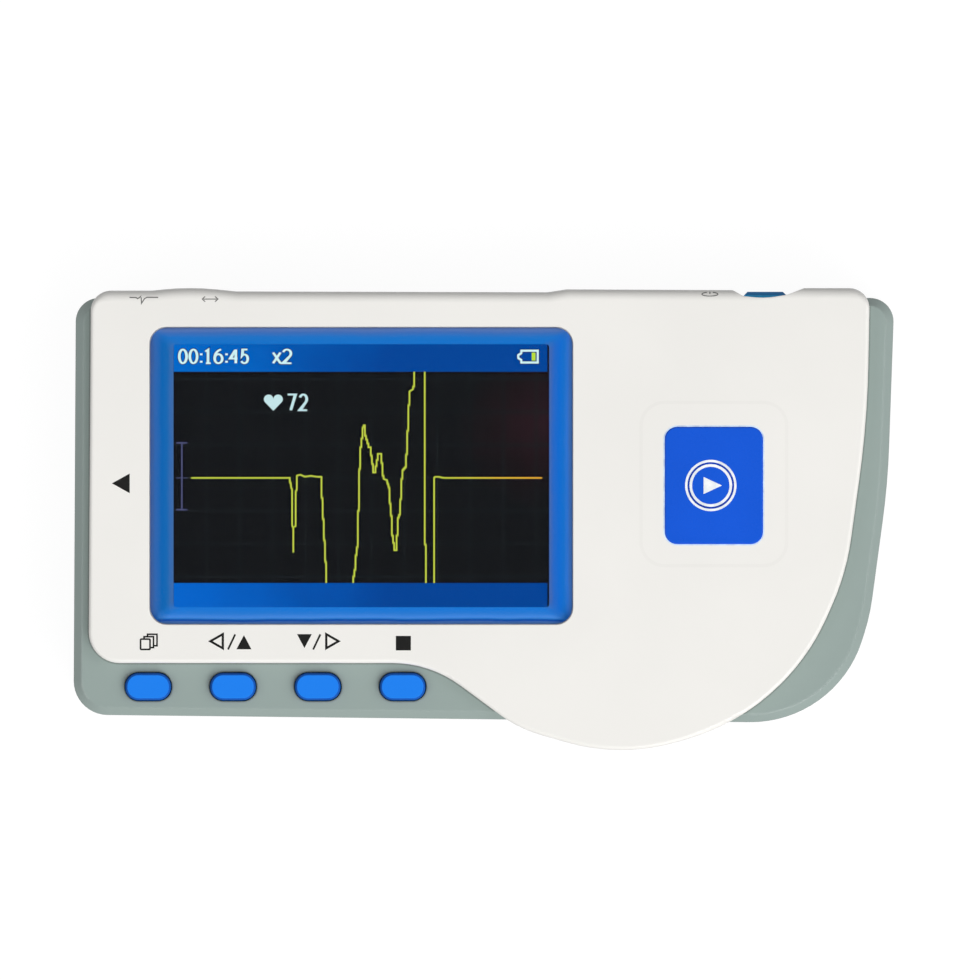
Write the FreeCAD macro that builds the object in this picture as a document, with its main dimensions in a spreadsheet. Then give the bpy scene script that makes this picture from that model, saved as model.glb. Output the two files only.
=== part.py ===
import FreeCAD, Part
import math
import os
from types import SimpleNamespace

import Sketcher
from FreeCAD import Placement, Rotation, Vector

# A handheld ECG home monitor. It lies on its back: +X to the right of its screen, +Y towards its
# socket side, +Z out of its front. The origin is on the back face, level with the middle of the case.

DIMENSIONS = {
    # grey housing, seen from the front
    "housing_left": 62.5,
    "housing_right": 62.8,
    "housing_bottom": 31.55,
    "side_lean": 0.35,
    "bottom_lean": 1.3,
    "top_corner_radius": 3.6,
    "left_corner_radius": 5.2,
    "knee_inset": 9.0,
    "knee_radius": 17.8,
    "flank_inset": 3.75,
    "flank_rise": 16.3,
    "flank_radius": 31.6,
    "shoulder_inset": 1.0,
    "shoulder_rise": 36.6,
    "shoulder_radius": 115.0,
    # white fascia, measured from the housing
    "fascia_left_margin": 2.35,
    "fascia_right_margin": 3.8,
    "fascia_top_radius": 3.1,
    "fascia_key_gap": 1.55,
    "fascia_lower_radius": 4.7,
    "swoop_margin": 0.68,
    "swoop_run": 13.55,
    "swoop_drop": 10.0,
    "swoop_in_radius": 17.5,
    "swoop_out_radius": 19.75,
    "belly_run": 15.75,
    "belly_drop": 14.5,
    "belly_radius": 30.0,
    "belly_fullness": 1.35,
    "belly_end_inset": 16.7,
    "belly_end_drop": 7.2,
    "belly_end_radius": 33.5,
    "fascia_flank_inset": 7.4,
    "fascia_flank_rise": 13.7,
    "fascia_flank_radius": 38.0,
    "fascia_shoulder_inset": 4.2,
    "fascia_shoulder_rise": 36.75,
    "fascia_shoulder_radius": 150.0,
    "wrap_corner": 1.1,
    "wrap_left": 0.98,
    "wrap_middle": 1.29,
    "wrap_right": 1.48,
    "wrap_droop": 0.13,
    "wrap_step_place": 11.3,
    "wrap_step_run": 2.9,
    "wrap_radius": 3.0,
    "bump_offset": 3.2,
    "bump_height": 0.72,
    "bump_left_run": 5.6,
    "bump_right_run": 7.2,
    "bump_radius": 40.0,
    "fascia_edge_radius": 0.6,
    "wrap_edge_radius": 1.6,
    # depths of the case
    "wall": 1.6,
    "fascia_thickness": 2.2,
    "wrap_clearance": 0.1,
    "deck_bevel": 1.2,
    "back_bevel": 1.8,
    "seam_step": 0.1,
    # window, screen and circuit board
    "screen_inset": 11.74,
    "screen_y": 6.22,
    "screen_headroom": 3.29,
    "lens_length": 64.4,
    "lens_width": 45.2,
    "lens_radius": 2.6,
    "lens_rise": 0.2,
    "lens_bevel": 0.9,
    "lens_clearance": 0.1,
    "ledge_thickness": 0.8,
    "mask_thickness": 0.2,
    "side_border": 3.55,
    "end_border": 2.55,
    "glass_margin": 1.9,
    "glass_thickness": 1.4,
    "backlight_margin": 1.9,
    "backlight_thickness": 2.0,
    "flex_thickness": 0.2,
    "flex_gap": 0.1,
    "flex_width": 14.0,
    "flex_landing": 5.0,
    "board_thickness": 1.2,
    "board_gap": 0.8,
    # keys
    "key_pitch": 12.94,
    "first_key_inset": 11.43,
    "key_wall_gap": 0.175,
    "key_length": 6.93,
    "key_width": 4.12,
    "key_rise": 1.3,
    "key_bevel": 0.3,
    "key_clearance": 0.15,
    "key_corner_share": 0.48,
    "key_flange": 0.45,
    "key_flange_thickness": 0.6,
    "key_travel": 0.4,
    "key_rest_gap": 0.1,
    "switch_size": 4.0,
    "dome_width": 3.2,
    "side_switch_length": 6.0,
    "switch_height": 0.6,
    "mat_thickness": 0.45,
    "measure_x": 35.2,
    "measure_y": 4.95,
    "measure_length": 22.1,
    "measure_width": 24.8,
    "measure_radius": 3.5,
    "measure_clearance": 0.1,
    "inlay_length": 15.0,
    "inlay_width": 17.9,
    "inlay_drop": 0.22,
    "inlay_radius": 1.9,
    "inlay_depth": 1.0,
    "inlay_rise": 0.15,
    "stem_size": 4.0,
    # power key on the socket side
    "power_x": 43.1,
    "power_length": 6.5,
    "power_height": 2.6,
    "power_lift": 0.5,
    "power_rise": 0.95,
    "power_bevel": 0.55,
    "scallop_depth": 1.56,
    "scallop_radius": 12.0,
    "scallop_left_rise": 0.32,
    "scallop_left_run": 4.9,
    "scallop_right_rise": 0.57,
    "scallop_right_run": 6.45,
    "power_switch_depth": 3.5,
    # battery bay and door
    "battery_length": 44.5,
    "battery_radius": 5.2,
    "battery_button_length": 0.9,
    "battery_button_radius": 1.9,
    "battery_gap": 0.5,
    "battery_spring_radius": 3.3,
    "bay_clearance": 0.15,
    "bay_centre": 8.2,
    "bay_spring_room": 6.2,
    "contact_thickness": 0.4,
    "bay_wall": 1.2,
    "bay_roof": 0.7,
    "bay_inset": 4.0,
    "door_thickness": 1.3,
    "door_margin": 2.0,
    "door_clearance": 0.15,
    "door_seat_gap": 0.1,
    "door_tongue": 0.8,
    "door_tongue_thickness": 0.55,
    "door_ridge_pitch": 1.8,
    "door_ridge_length": 14.0,
    "door_ridge_width": 0.8,
    "door_ridge_depth": 0.3,
    # electrodes
    "plate_thickness": 0.7,
    "plate_inset": 0.1,
    "plate_gap": 0.1,
    "side_plate_length": 24.0,
    "side_plate_height": 6.0,
    "side_plate_drop": 1.3,
    "side_tab_width": 3.0,
    "side_tab_length": 1.6,
    "side_tab_thickness": 0.3,
    "finger_x": 48.5,
    "index_y": 16.0,
    "middle_y": -3.0,
    "finger_length": 13.0,
    "finger_width": 11.0,
    "finger_radius": 4.6,
    "leaf_width": 1.6,
    "leaf_gap": 0.3,
    # sockets
    "lead_inset": 10.8,
    "lead_length": 8.0,
    "usb_length": 7.7,
    "socket_spacing": 2.25,
    "socket_height": 3.9,
    "socket_sill": 0.8,
    "socket_depth": 9.2,
    "socket_wall": 0.45,
    "socket_mouth_depth": 6.5,
    "socket_recess": 0.9,
    "socket_clearance": 0.3,
    "tongue_thickness": 0.9,
    "tongue_setback": 1.0,
    # screws and bosses
    "boss_radius": 2.4,
    "boss_clearance": 0.3,
    "screw_radius": 0.9,
    "screw_head_radius": 1.75,
    "screw_head_height": 1.3,
    "screw_recess": 1.2,
    "screw_bite": 5.0,
    "screw_bore_depth": 7.5,
    "corner_screw_inset": 1.2,
    "side_screw_inset": 0.6,
    "socket_screw_drop": 15.0,
    "key_screw_rise": 1.5,
    "key_screw_gap": 0.48,
    "door_screw_gap": 4.5,
    "board_post_radius": 2.0,
    "board_screw_head_height": 0.8,
    "board_screw_bite": 1.4,
    "board_bore_depth": 1.6,
    "screen_post_gap": 6.0,
    "screen_post_inset": 2.5,
    "left_post_inset": 3.0,
    "left_post_drop": 8.0,
    "right_post_inset": 3.2,
    "right_post_rise": 2.0,
    # parts on the lower face of the board
    "shield_length": 24.0,
    "shield_width": 15.0,
    "shield_height": 2.2,
    "shield_x": -0.8,
    "shield_y": 15.3,
    "chip_x": -33.4,
    "processor_y": 6.3,
    "processor_size": 12.0,
    "processor_height": 1.2,
    "memory_y": -7.7,
    "memory_width": 8.0,
    "memory_height": 1.0,
    "buzzer_x": 26.2,
    "buzzer_y": 18.3,
    "buzzer_radius": 4.5,
    "buzzer_height": 3.0,
}


# Sides of the small posts, bores and screws, which are many-sided instead of round.
HIDDEN_SIDES = 8
SCREW_SIDES = 12

# Grip grooves across the battery door.
DOOR_RIDGES = 5


class Size:
    """A number that keeps the spreadsheet expression it comes from."""

    def __init__(self, value, text):
        self.value = value
        self.text = text

    def __add__(self, other):
        other = sized(other)
        return Size(self.value + other.value, f"({self.text} + {other.text})")

    def __sub__(self, other):
        other = sized(other)
        return Size(self.value - other.value, f"({self.text} - {other.text})")

    def __mul__(self, other):
        other = sized(other)
        return Size(self.value * other.value, f"({self.text} * {other.text})")

    def __truediv__(self, other):
        other = sized(other)
        return Size(self.value / other.value, f"({self.text} / {other.text})")

    def __neg__(self):
        return Size(-self.value, f"(0 - {self.text})")

    def at_most(self, other):
        return Size(min(self.value, other.value), f"min({self.text}; {other.text})")

    def __radd__(self, other):
        return sized(other) + self

    def __rsub__(self, other):
        return sized(other) - self

    def __rmul__(self, other):
        return sized(other) * self


def sized(number):
    if isinstance(number, Size):
        return number
    return Size(float(number), f"({float(number)})")


def make_sheet(document):
    """Writes the dimensions into the spreadsheet and returns them by name."""
    sheet = document.addObject("Spreadsheet::Sheet", "sizes")
    named = {}
    for row, (name, value) in enumerate(DIMENSIONS.items(), start=1):
        sheet.set(f"A{row}", name)
        sheet.set(f"B{row}", str(value))
        sheet.setAlias(f"B{row}", name)
        named[name] = Size(float(value), f"sizes.{name}")
    document.recompute()
    return SimpleNamespace(**named)


doc = FreeCAD.newDocument("ecg_home_monitor")
dim = make_sheet(doc)
nodes = []

# Heights, from the back face up: the battery bay carries the board, and the board the screen.
door_seat = dim.door_thickness + dim.door_seat_gap
bay_floor = door_seat + dim.bay_wall
battery_level = dim.door_thickness + dim.bay_clearance + dim.battery_radius
bay_ceiling = battery_level + dim.battery_radius + dim.bay_clearance
board_bottom = bay_ceiling + dim.bay_roof
board_top = board_bottom + dim.board_thickness
glass_bottom = board_top + dim.backlight_thickness
glass_top = glass_bottom + dim.glass_thickness
deck_height = glass_bottom + dim.flex_thickness + dim.flex_gap + dim.wall
deck_under = deck_height - dim.wall
ledge_top = deck_height + dim.ledge_thickness
lens_bottom = ledge_top + dim.mask_thickness
fascia_top = deck_height + dim.fascia_thickness
parting_height = board_bottom - dim.socket_height - dim.socket_sill
side_plate_level = board_top - dim.side_plate_drop
power_level = board_top + dim.power_lift

# The screen behind its window.
view_length = dim.lens_length - 2 * dim.side_border
view_width = dim.lens_width - 2 * dim.end_border
glass_length = view_length + 2 * dim.glass_margin
glass_width = view_width + 2 * dim.glass_margin
backlight_length = glass_length + 2 * dim.backlight_margin
backlight_width = glass_width + 2 * dim.backlight_margin

# Places across the case: the screen sets its socket side, and the sockets and keys follow its left side.
housing_top = dim.screen_y + backlight_width / 2 + dim.screen_headroom
screen_x = -dim.housing_left + dim.screen_inset + dim.lens_length / 2
first_key_x = -dim.housing_left + dim.first_key_inset
last_key_x = first_key_x + 3 * dim.key_pitch
key_row_low = -dim.housing_bottom + dim.bottom_lean + dim.wall + dim.key_wall_gap + dim.key_flange
key_row_y = key_row_low + dim.key_width / 2
lead_x = -dim.housing_left + dim.lead_inset
usb_x = lead_x + (dim.lead_length + dim.usb_length) / 2 + dim.socket_spacing

# The battery bay and its door, seen from the front.
bay_length = dim.battery_length + dim.bay_spring_room + 2 * dim.contact_thickness
bay_left = dim.bay_centre - bay_length / 2
bay_right = dim.bay_centre + bay_length / 2
bay_width = 4 * dim.battery_radius + dim.battery_gap + 2 * dim.bay_clearance
bay_lower = -dim.housing_bottom + dim.bay_inset
bay_upper = bay_lower + bay_width
door_left = bay_left - dim.door_margin
door_right = bay_right + dim.door_margin
door_end = bay_upper + dim.door_margin

# How far cuts that leave the case run past it.
beyond = dim.wall

# Keys and switches.
switch_top = board_top + dim.switch_height
mat_top = switch_top + dim.mat_thickness
key_bottom = mat_top + dim.key_travel + dim.key_rest_gap
measure_stem_bottom = switch_top + dim.key_travel + dim.key_rest_gap
key_flange_bottom = deck_under - dim.key_clearance - dim.key_flange_thickness


# --- helpers -------------------------------------------------------------------------------------

def bind(thing, **sizes):
    """Binds properties to expressions; x, y and z stand for the placement."""
    places = {"x": "Placement.Base.x", "y": "Placement.Base.y", "z": "Placement.Base.z"}
    for name, size in sizes.items():
        thing.setExpression(places.get(name, name), sized(size).text)
    return thing


def rectangle(x, y, length, width, radius=None):
    """Corners of a rectangle about (x, y), anticlockwise."""
    left, right = x - length / 2, x + length / 2
    lower, upper = y - width / 2, y + width / 2
    return [(left, lower, radius), (right, lower, radius), (right, upper, radius), (left, upper, radius)]


def corner_arc(before, corner, after, radius):
    """The arc that rounds a corner, the ends of the straight runs there, and whether it turns left."""
    incoming = (before - corner).normalize()
    outgoing = (after - corner).normalize()
    half_angle = incoming.getAngle(outgoing) / 2
    reach = radius / math.tan(half_angle)
    centre = corner + (incoming + outgoing).normalize() * (radius / math.sin(half_angle))
    left_turn = (corner - before).cross(after - corner).z > 0
    run_ends = [corner + incoming * reach, corner + outgoing * reach]
    arc_ends = run_ends if left_turn else run_ends[::-1]
    angles = [math.atan2(end.y - centre.y, end.x - centre.x) for end in arc_ends]
    circle = Part.Circle(centre, Vector(0, 0, 1), radius)
    return Part.ArcOfCircle(circle, *angles), run_ends, left_turn


def pin_point(sketch, geometry, position, x, y):
    """Fixes a point of the sketch at (x, y) and binds both distances."""
    for kind, size in (("DistanceX", x), ("DistanceY", y)):
        size = sized(size)
        row = sketch.addConstraint(Sketcher.Constraint(kind, -1, 1, geometry, position, size.value))
        sketch.setExpression(f"Constraints[{row}]", size.text)


def draw_outline(sketch, corners):
    """Draws a closed outline of straight runs with its corners rounded by tangent arcs."""
    count = len(corners)
    points = [Vector(sized(x).value, sized(y).value, 0) for x, y, _ in corners]
    arcs = {}
    run_ends = [[point, point] for point in points]
    for index, (_, _, radius) in enumerate(corners):
        if radius is not None:
            neighbours = points[index - 1], points[index], points[(index + 1) % count]
            arcs[index], run_ends[index], turns_left = corner_arc(*neighbours, radius.value)
            arcs[index] = (arcs[index], turns_left)
    first = sketch.GeometryCount
    for index in range(count):
        sketch.addGeometry(Part.LineSegment(run_ends[index][1], run_ends[(index + 1) % count][0]))
    for index, (x, y, radius) in enumerate(corners):
        before = first + (index - 1) % count
        after = first + index
        if radius is None:
            sketch.addConstraint(Sketcher.Constraint("Coincident", before, 2, after, 1))
            pin_point(sketch, after, 1, x, y)
            continue
        arc, turns_left = arcs[index]
        ends = (1, 2) if turns_left else (2, 1)
        rounding = sketch.addGeometry(arc)
        tip = sketch.addGeometry(Part.Point(points[index]), True)
        sketch.addConstraint([
            Sketcher.Constraint("Tangent", before, 2, rounding, ends[0]),
            Sketcher.Constraint("Tangent", rounding, ends[1], after, 1),
            Sketcher.Constraint("PointOnObject", tip, 1, before),
            Sketcher.Constraint("PointOnObject", tip, 1, after),
        ])
        row = sketch.addConstraint(Sketcher.Constraint("Radius", rounding, radius.value))
        sketch.setExpression(f"Constraints[{row}]", radius.text)
        pin_point(sketch, tip, 1, x, y)
    return sketch


def draw_circle(sketch, x, y, radius):
    centre = Vector(sized(x).value, sized(y).value, 0)
    circle = sketch.addGeometry(Part.Circle(centre, Vector(0, 0, 1), radius.value))
    row = sketch.addConstraint(Sketcher.Constraint("Radius", circle, radius.value))
    sketch.setExpression(f"Constraints[{row}]", radius.text)
    pin_point(sketch, circle, 3, x, y)
    return sketch


def outline_sketch(name, corners):
    return draw_outline(doc.addObject("Sketcher::SketchObject", name), corners)


def extrude(name, profile, bottom, top):
    """A prism over a flat profile, from one height to another."""
    solid = doc.addObject("Part::Extrusion", name)
    solid.Base = profile
    solid.DirMode = "Custom"
    solid.Dir = Vector(0, 0, 1)
    solid.Solid = True
    solid.FaceMakerClass = "Part::FaceMakerBullseye"
    return bind(solid, LengthFwd=top - bottom, z=bottom)


def prism(name, corners, bottom, top):
    return extrude(name, outline_sketch(name + "_outline", corners), bottom, top)


def block(name, left, right, lower, upper, bottom, top):
    solid = doc.addObject("Part::Box", name)
    bind(solid, Length=right - left, Width=upper - lower, Height=top - bottom)
    return bind(solid, x=left, y=lower, z=bottom)


def prism_post(name, x, y, bottom, top, radius, sides=HIDDEN_SIDES):
    """A many-sided post with its flat sides at the radius, for the small bosses, bores and screws."""
    solid = doc.addObject("Part::Prism", name)
    solid.Polygon = sides
    across_corners = radius * (1 / math.cos(math.pi / sides))
    return bind(solid, Circumradius=across_corners, Height=top - bottom, x=x, y=y, z=bottom)


def offset(name, profile, distance):
    """The outline of a flat profile moved outwards by a distance, or inwards if it is negative."""
    moved = doc.addObject("Part::Offset2D", name)
    moved.Source = profile
    moved.Join = "Arc"
    return bind(moved, Value=distance)


def fuse(name, *solids):
    joined = doc.addObject("Part::MultiFuse", name)
    joined.Shapes = list(solids)
    joined.Refine = True
    return joined


def cut(name, base, *tools):
    result = doc.addObject("Part::Cut", name)
    result.Base = base
    result.Tool = tools[0] if len(tools) == 1 else fuse(name + "_tools", *tools)
    result.Refine = True
    return result


def common(name, *solids):
    shared = doc.addObject("Part::MultiCommon", name)
    shared.Shapes = list(solids)
    shared.Refine = True
    return shared


def dress_solid(kind, name, base, radius, wanted):
    """Adds a Fillet or Chamfer to the edges for which wanted(middle of the edge's box, box) holds."""
    doc.recompute()
    rounded = doc.addObject(f"Part::{kind}", name)
    rounded.Base = base
    rounded.Edges = [
        (number, radius.value, radius.value)
        for number, edge in enumerate(base.Shape.Edges, start=1)
        if wanted(edge.BoundBox.Center, edge.BoundBox)
    ]
    return rounded


def flat_at(box, height):
    return abs(box.ZMin - height.value) < 1e-4 and abs(box.ZMax - height.value) < 1e-4


def node(name, thing):
    """Marks a finished piece: its label names its file."""
    thing.Label = name
    nodes.append(thing)
    return thing


class Piece:
    """A PartDesign body with short names for the features that the pieces need."""

    def __init__(self, name):
        self.name = name
        self.body = doc.addObject("PartDesign::Body", name)
        node(name, self.body)

    def sketch(self, label, plane="XY_Plane", height=None):
        sketch = self.body.newObject("Sketcher::SketchObject", f"{self.name}_{label}_sketch")
        plane_object = [item for item in self.body.Origin.OriginFeatures if item.Role == plane][0]
        sketch.AttachmentSupport = (plane_object, [""])
        sketch.MapMode = "FlatFace"
        if height is not None:
            sketch.setExpression("AttachmentOffset.Base.z", sized(height).text)
        return sketch

    def pad(self, label, corners, bottom, top):
        profile = draw_outline(self.sketch(label, height=bottom), corners)
        feature = self.body.newObject("PartDesign::Pad", f"{self.name}_{label}")
        feature.Profile = profile
        return bind(feature, Length=top - bottom)

    def pad_circles(self, label, places, radius, bottom, top):
        profile = self.sketch(label, height=bottom)
        for x, y in places:
            draw_circle(profile, x, y, radius)
        feature = self.body.newObject("PartDesign::Pad", f"{self.name}_{label}")
        feature.Profile = profile
        feature.AllowMultiFace = True
        return bind(feature, Length=top - bottom)

    def pocket(self, label, corners, top, depth):
        """Cuts straight down from a height."""
        profile = draw_outline(self.sketch(label, height=top), corners)
        return self.cut_down(label, profile, depth)

    def cut_down(self, label, profile, depth):
        doc.recompute()
        before = self.body.Shape.Volume
        feature = self.body.newObject("PartDesign::Pocket", f"{self.name}_{label}")
        feature.Profile = profile
        bind(feature, Length=depth)
        doc.recompute()
        if self.body.Shape.Volume >= before:
            raise RuntimeError(f"{feature.Name} cuts nothing")
        return feature

    def revolve(self, label, points):
        """Turns a profile, given as (radius, height) points, about the body's own Z axis."""
        profile = draw_outline(self.sketch(label, plane="XZ_Plane"), [(x, z, None) for x, z in points])
        feature = self.body.newObject("PartDesign::Revolution", f"{self.name}_{label}")
        feature.Profile = profile
        feature.ReferenceAxis = (profile, ["V_Axis"])
        feature.Angle = 360
        return feature

    def dress(self, kind, label, radius, wanted):
        """Adds a Fillet or Chamfer to the edges for which wanted(middle of the box, box) holds."""
        doc.recompute()
        base = self.body.Tip
        edges = [
            f"Edge{number}"
            for number, edge in enumerate(base.Shape.Edges, start=1)
            if wanted(edge.BoundBox.Center, edge.BoundBox)
        ]
        feature = self.body.newObject(f"PartDesign::{kind}", f"{self.name}_{label}")
        feature.Base = (base, edges)
        if kind == "Fillet":
            return bind(feature, Radius=radius)
        return bind(feature, Size=radius)

    def move(self, x, y, z, rotation=None):
        if rotation is not None:
            self.body.Placement = Placement(Vector(0, 0, 0), rotation)
        bind(self.body, x=x, y=y, z=z)
        return self


# --- outlines ------------------------------------------------------------------------------------

def housing_corners():
    left, right = -dim.housing_left, dim.housing_right
    top, bottom = housing_top, -dim.housing_bottom
    return [
        (left + dim.side_lean, top, dim.top_corner_radius),
        (left, bottom + dim.bottom_lean, dim.left_corner_radius),
        (right - dim.knee_inset, bottom, dim.knee_radius),
        (right - dim.flank_inset, bottom + dim.flank_rise, dim.flank_radius),
        (right - dim.shoulder_inset, bottom + dim.shoulder_rise, dim.shoulder_radius),
        (right, top, dim.top_corner_radius),
    ]


def fascia_corners():
    left = -dim.housing_left + dim.fascia_left_margin
    right = dim.housing_right
    lower = key_row_y + dim.key_width / 2 + dim.fascia_key_gap
    swoop = last_key_x + dim.key_length / 2 + dim.swoop_margin
    swoop_end = swoop + dim.swoop_run
    belly = swoop_end + dim.belly_run
    belly_end = right - dim.belly_end_inset
    largest_radius = dim.belly_fullness * (belly_end - belly)
    rise = housing_top + dim.wrap_left
    middle_rise = housing_top + dim.wrap_middle
    bump = usb_x - dim.bump_offset
    return [
        (left + dim.side_lean, housing_top + dim.wrap_corner, dim.fascia_top_radius),
        (left, lower, dim.fascia_lower_radius),
        (swoop, lower, dim.swoop_in_radius),
        (swoop_end, lower - dim.swoop_drop, dim.swoop_out_radius),
        (belly, lower - dim.belly_drop, dim.belly_radius.at_most(largest_radius)),
        (belly_end, lower - dim.belly_end_drop, dim.belly_end_radius.at_most(largest_radius)),
        (right - dim.fascia_flank_inset, lower + dim.fascia_flank_rise, dim.fascia_flank_radius),
        (
            right - dim.fascia_shoulder_inset,
            lower + dim.fascia_shoulder_rise,
            dim.fascia_shoulder_radius,
        ),
        (right - dim.fascia_right_margin, housing_top + dim.wrap_right, dim.fascia_top_radius),
        (dim.power_x + dim.wrap_step_run / 2, housing_top + dim.wrap_right, None),
        (dim.power_x - dim.wrap_step_run / 2, middle_rise - dim.wrap_droop, None),
        (dim.wrap_step_place + dim.wrap_step_run / 2, middle_rise, dim.wrap_radius),
        (dim.wrap_step_place - dim.wrap_step_run / 2, rise - dim.wrap_droop, None),
        (bump + dim.bump_right_run, rise, None),
        (bump, rise + dim.bump_height, dim.bump_radius),
        (bump - dim.bump_left_run, housing_top + dim.wrap_corner, None),
    ]


def overhang_corners():
    """The fascia's outline with a straight socket side, level with its lowest part there."""
    first, *others, last = fascia_corners()[:9]
    top = housing_top + dim.wrap_left - dim.wrap_droop
    return [(first[0], top, first[2]), *others, (last[0], top, last[2])]


housing_outline = outline_sketch("housing_outline", housing_corners())
fascia_outline = outline_sketch("fascia_outline", fascia_corners())
housing_inside = offset("housing_inside", housing_outline, -dim.wall)
housing_around = offset("housing_around", housing_outline, dim.wrap_clearance)
housing_seam = offset("housing_seam", housing_outline, -dim.seam_step)
fascia_inside = offset("fascia_inside", fascia_outline, -dim.wall)
overhang_outline = outline_sketch("overhang_outline", overhang_corners())
overhang_seam = offset("overhang_seam", overhang_outline, -dim.seam_step)

boss_inset = dim.wall + dim.boss_radius
corner_inset = boss_inset + dim.corner_screw_inset
side_inset = boss_inset + dim.side_screw_inset
screw_places = [
    (-dim.housing_left + side_inset, housing_top - dim.socket_screw_drop),
    (
        first_key_x - dim.key_length / 2 - dim.key_flange - dim.key_screw_gap - dim.boss_radius,
        key_row_y + dim.key_screw_rise,
    ),
    (dim.housing_right - corner_inset, housing_top - corner_inset),
    (door_right + dim.boss_radius + dim.door_screw_gap, key_row_y + dim.key_screw_rise),
]
board_screw_places = [
    (
        screen_x + backlight_length / 2 + dim.screen_post_gap,
        housing_top - boss_inset - dim.screen_post_inset,
    ),
    (-dim.housing_left + boss_inset + dim.left_post_inset, dim.screen_y - dim.left_post_drop),
    (dim.housing_right - boss_inset - dim.right_post_inset, dim.measure_y + dim.right_post_rise),
]
scallop_low = housing_top + dim.wrap_right - dim.scallop_depth
scallop_half = dim.power_length / 2 + dim.key_clearance
key_places = [(first_key_x + number * dim.key_pitch, key_row_y) for number in range(4)]
finger_places = [(dim.finger_x, dim.index_y), (dim.finger_x, dim.middle_y)]


# --- case ----------------------------------------------------------------------------------------

def key_opening(name, x, y, length, width, radius, clearance, bottom, top):
    corners = rectangle(x, y, length + 2 * clearance, width + 2 * clearance, radius + clearance)
    return prism(name, corners, bottom, top)


def socket_openings(prefix, near, far):
    """Holes for both sockets through the walls between two distances from the middle."""
    holes = []
    gap = dim.socket_clearance
    for name, x, length in (("usb", usb_x, dim.usb_length), ("lead", lead_x, dim.lead_length)):
        half = length / 2 + gap
        holes.append(block(
            f"{prefix}_{name}_hole", x - half, x + half, near, far,
            board_bottom - dim.socket_height - gap, board_bottom,
        ))
    return holes


def power_opening(name, near, far):
    height = dim.power_height / 2 + dim.key_clearance
    return block(
        name, dim.power_x - scallop_half, dim.power_x + scallop_half, near, far,
        power_level - height, power_level + height,
    )


def make_front_shell():
    """Grey upper half: a deck with walls, bevelled at its rim, posts inside for the screws."""
    solid = extrude("front_solid", housing_outline, parting_height, deck_height)
    bevelled = dress_solid(
        "Chamfer", "front_bevelled", solid, dim.deck_bevel,
        lambda middle, box: flat_at(box, deck_height),
    )
    hollow = extrude("front_hollow", housing_inside, parting_height, deck_under)
    walls = cut("front_walls", bevelled, hollow)
    post_top = deck_under + dim.wall / 2
    posts = [
        prism_post(f"front_boss_{number}", x, y, parting_height, post_top, dim.boss_radius)
        for number, (x, y) in enumerate(screw_places)
    ] + [
        prism_post(f"front_post_{number}", x, y, board_top, post_top, dim.board_post_radius)
        for number, (x, y) in enumerate(board_screw_places)
    ]
    body = fuse("front_body", walls, *posts)
    openings = [
        prism_post(
            f"front_bore_{number}", x, y, parting_height,
            parting_height + dim.screw_bore_depth, dim.screw_radius,
        )
        for number, (x, y) in enumerate(screw_places)
    ] + [
        prism_post(
            f"front_pilot_{number}", x, y, board_top, board_top + dim.board_bore_depth, dim.screw_radius
        )
        for number, (x, y) in enumerate(board_screw_places)
    ]
    gap = 2 * dim.measure_clearance
    glass_hole = rectangle(screen_x, dim.screen_y, glass_length + gap, glass_width + gap)
    openings.append(prism("front_glass_hole", glass_hole, deck_under, deck_height))
    for number, (x, y) in enumerate(key_places):
        openings.append(key_opening(
            f"front_key_hole_{number}", x, y, dim.key_length, dim.key_width,
            dim.key_corner_share * dim.key_width, dim.key_clearance, deck_under, deck_height,
        ))
    openings.append(key_opening(
        "front_measure_hole", dim.measure_x, dim.measure_y, dim.measure_length, dim.measure_width,
        dim.measure_radius, dim.measure_clearance, deck_under, deck_height,
    ))
    near, far = housing_top - dim.wall - beyond, housing_top + beyond
    openings += socket_openings("front", near, far)
    openings.append(power_opening("front_power_hole", near, far))
    openings += side_plate_room()
    node("front_shell", cut("front_shell_solid", body, *openings))


def scallop(name, bottom, top):
    """The dip in the socket side that the power key stands in, dished between its sloping ends."""
    rim = scallop_low + 2 * dim.scallop_depth
    left, right = dim.power_x - scallop_half, dim.power_x + scallop_half
    corners = [
        (left, scallop_low + dim.scallop_left_rise, None),
        (dim.power_x, scallop_low, dim.scallop_radius),
        (right, scallop_low + dim.scallop_right_rise, None),
        (right + dim.scallop_right_run, rim, None),
        (left - dim.scallop_left_run, rim, None),
    ]
    return prism(name, corners, bottom, top)


def side_plate_room():
    """The recess in the left wall for the palm electrode, with a slot for its tab."""
    half_length = dim.side_plate_length / 2 + dim.plate_gap
    half_height = dim.side_plate_height / 2 + dim.plate_gap
    half_tab = dim.side_tab_width / 2 + dim.plate_gap
    outside = -dim.housing_left
    floor = outside + dim.plate_inset + dim.plate_thickness + dim.side_lean
    recess = block(
        "side_plate_recess", outside - beyond, floor,
        dim.measure_y - half_length, dim.measure_y + half_length,
        side_plate_level - half_height, side_plate_level + half_height,
    )
    slot = block(
        "side_plate_slot", outside, outside + dim.wall + beyond,
        dim.measure_y - half_tab, dim.measure_y + half_tab,
        board_top - dim.plate_gap, board_top + dim.side_tab_thickness + dim.plate_gap,
    )
    return [recess, slot]


def round_fascia(solid):
    """Rounds the rim of the fascia, widely along the socket side and narrowly elsewhere."""
    doc.recompute()

    def radius_at(point):
        return (dim.wrap_edge_radius if point.y > housing_top.value else dim.fascia_edge_radius).value

    rounded = doc.addObject("Part::Fillet", "fascia_rounded")
    rounded.Base = solid
    rounded.Edges = [
        (
            number,
            radius_at(edge.valueAt(edge.FirstParameter)),
            radius_at(edge.valueAt(edge.LastParameter)),
        )
        for number, edge in enumerate(solid.Shape.Edges, start=1)
        if flat_at(edge.BoundBox, fascia_top)
    ]
    return rounded


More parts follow.
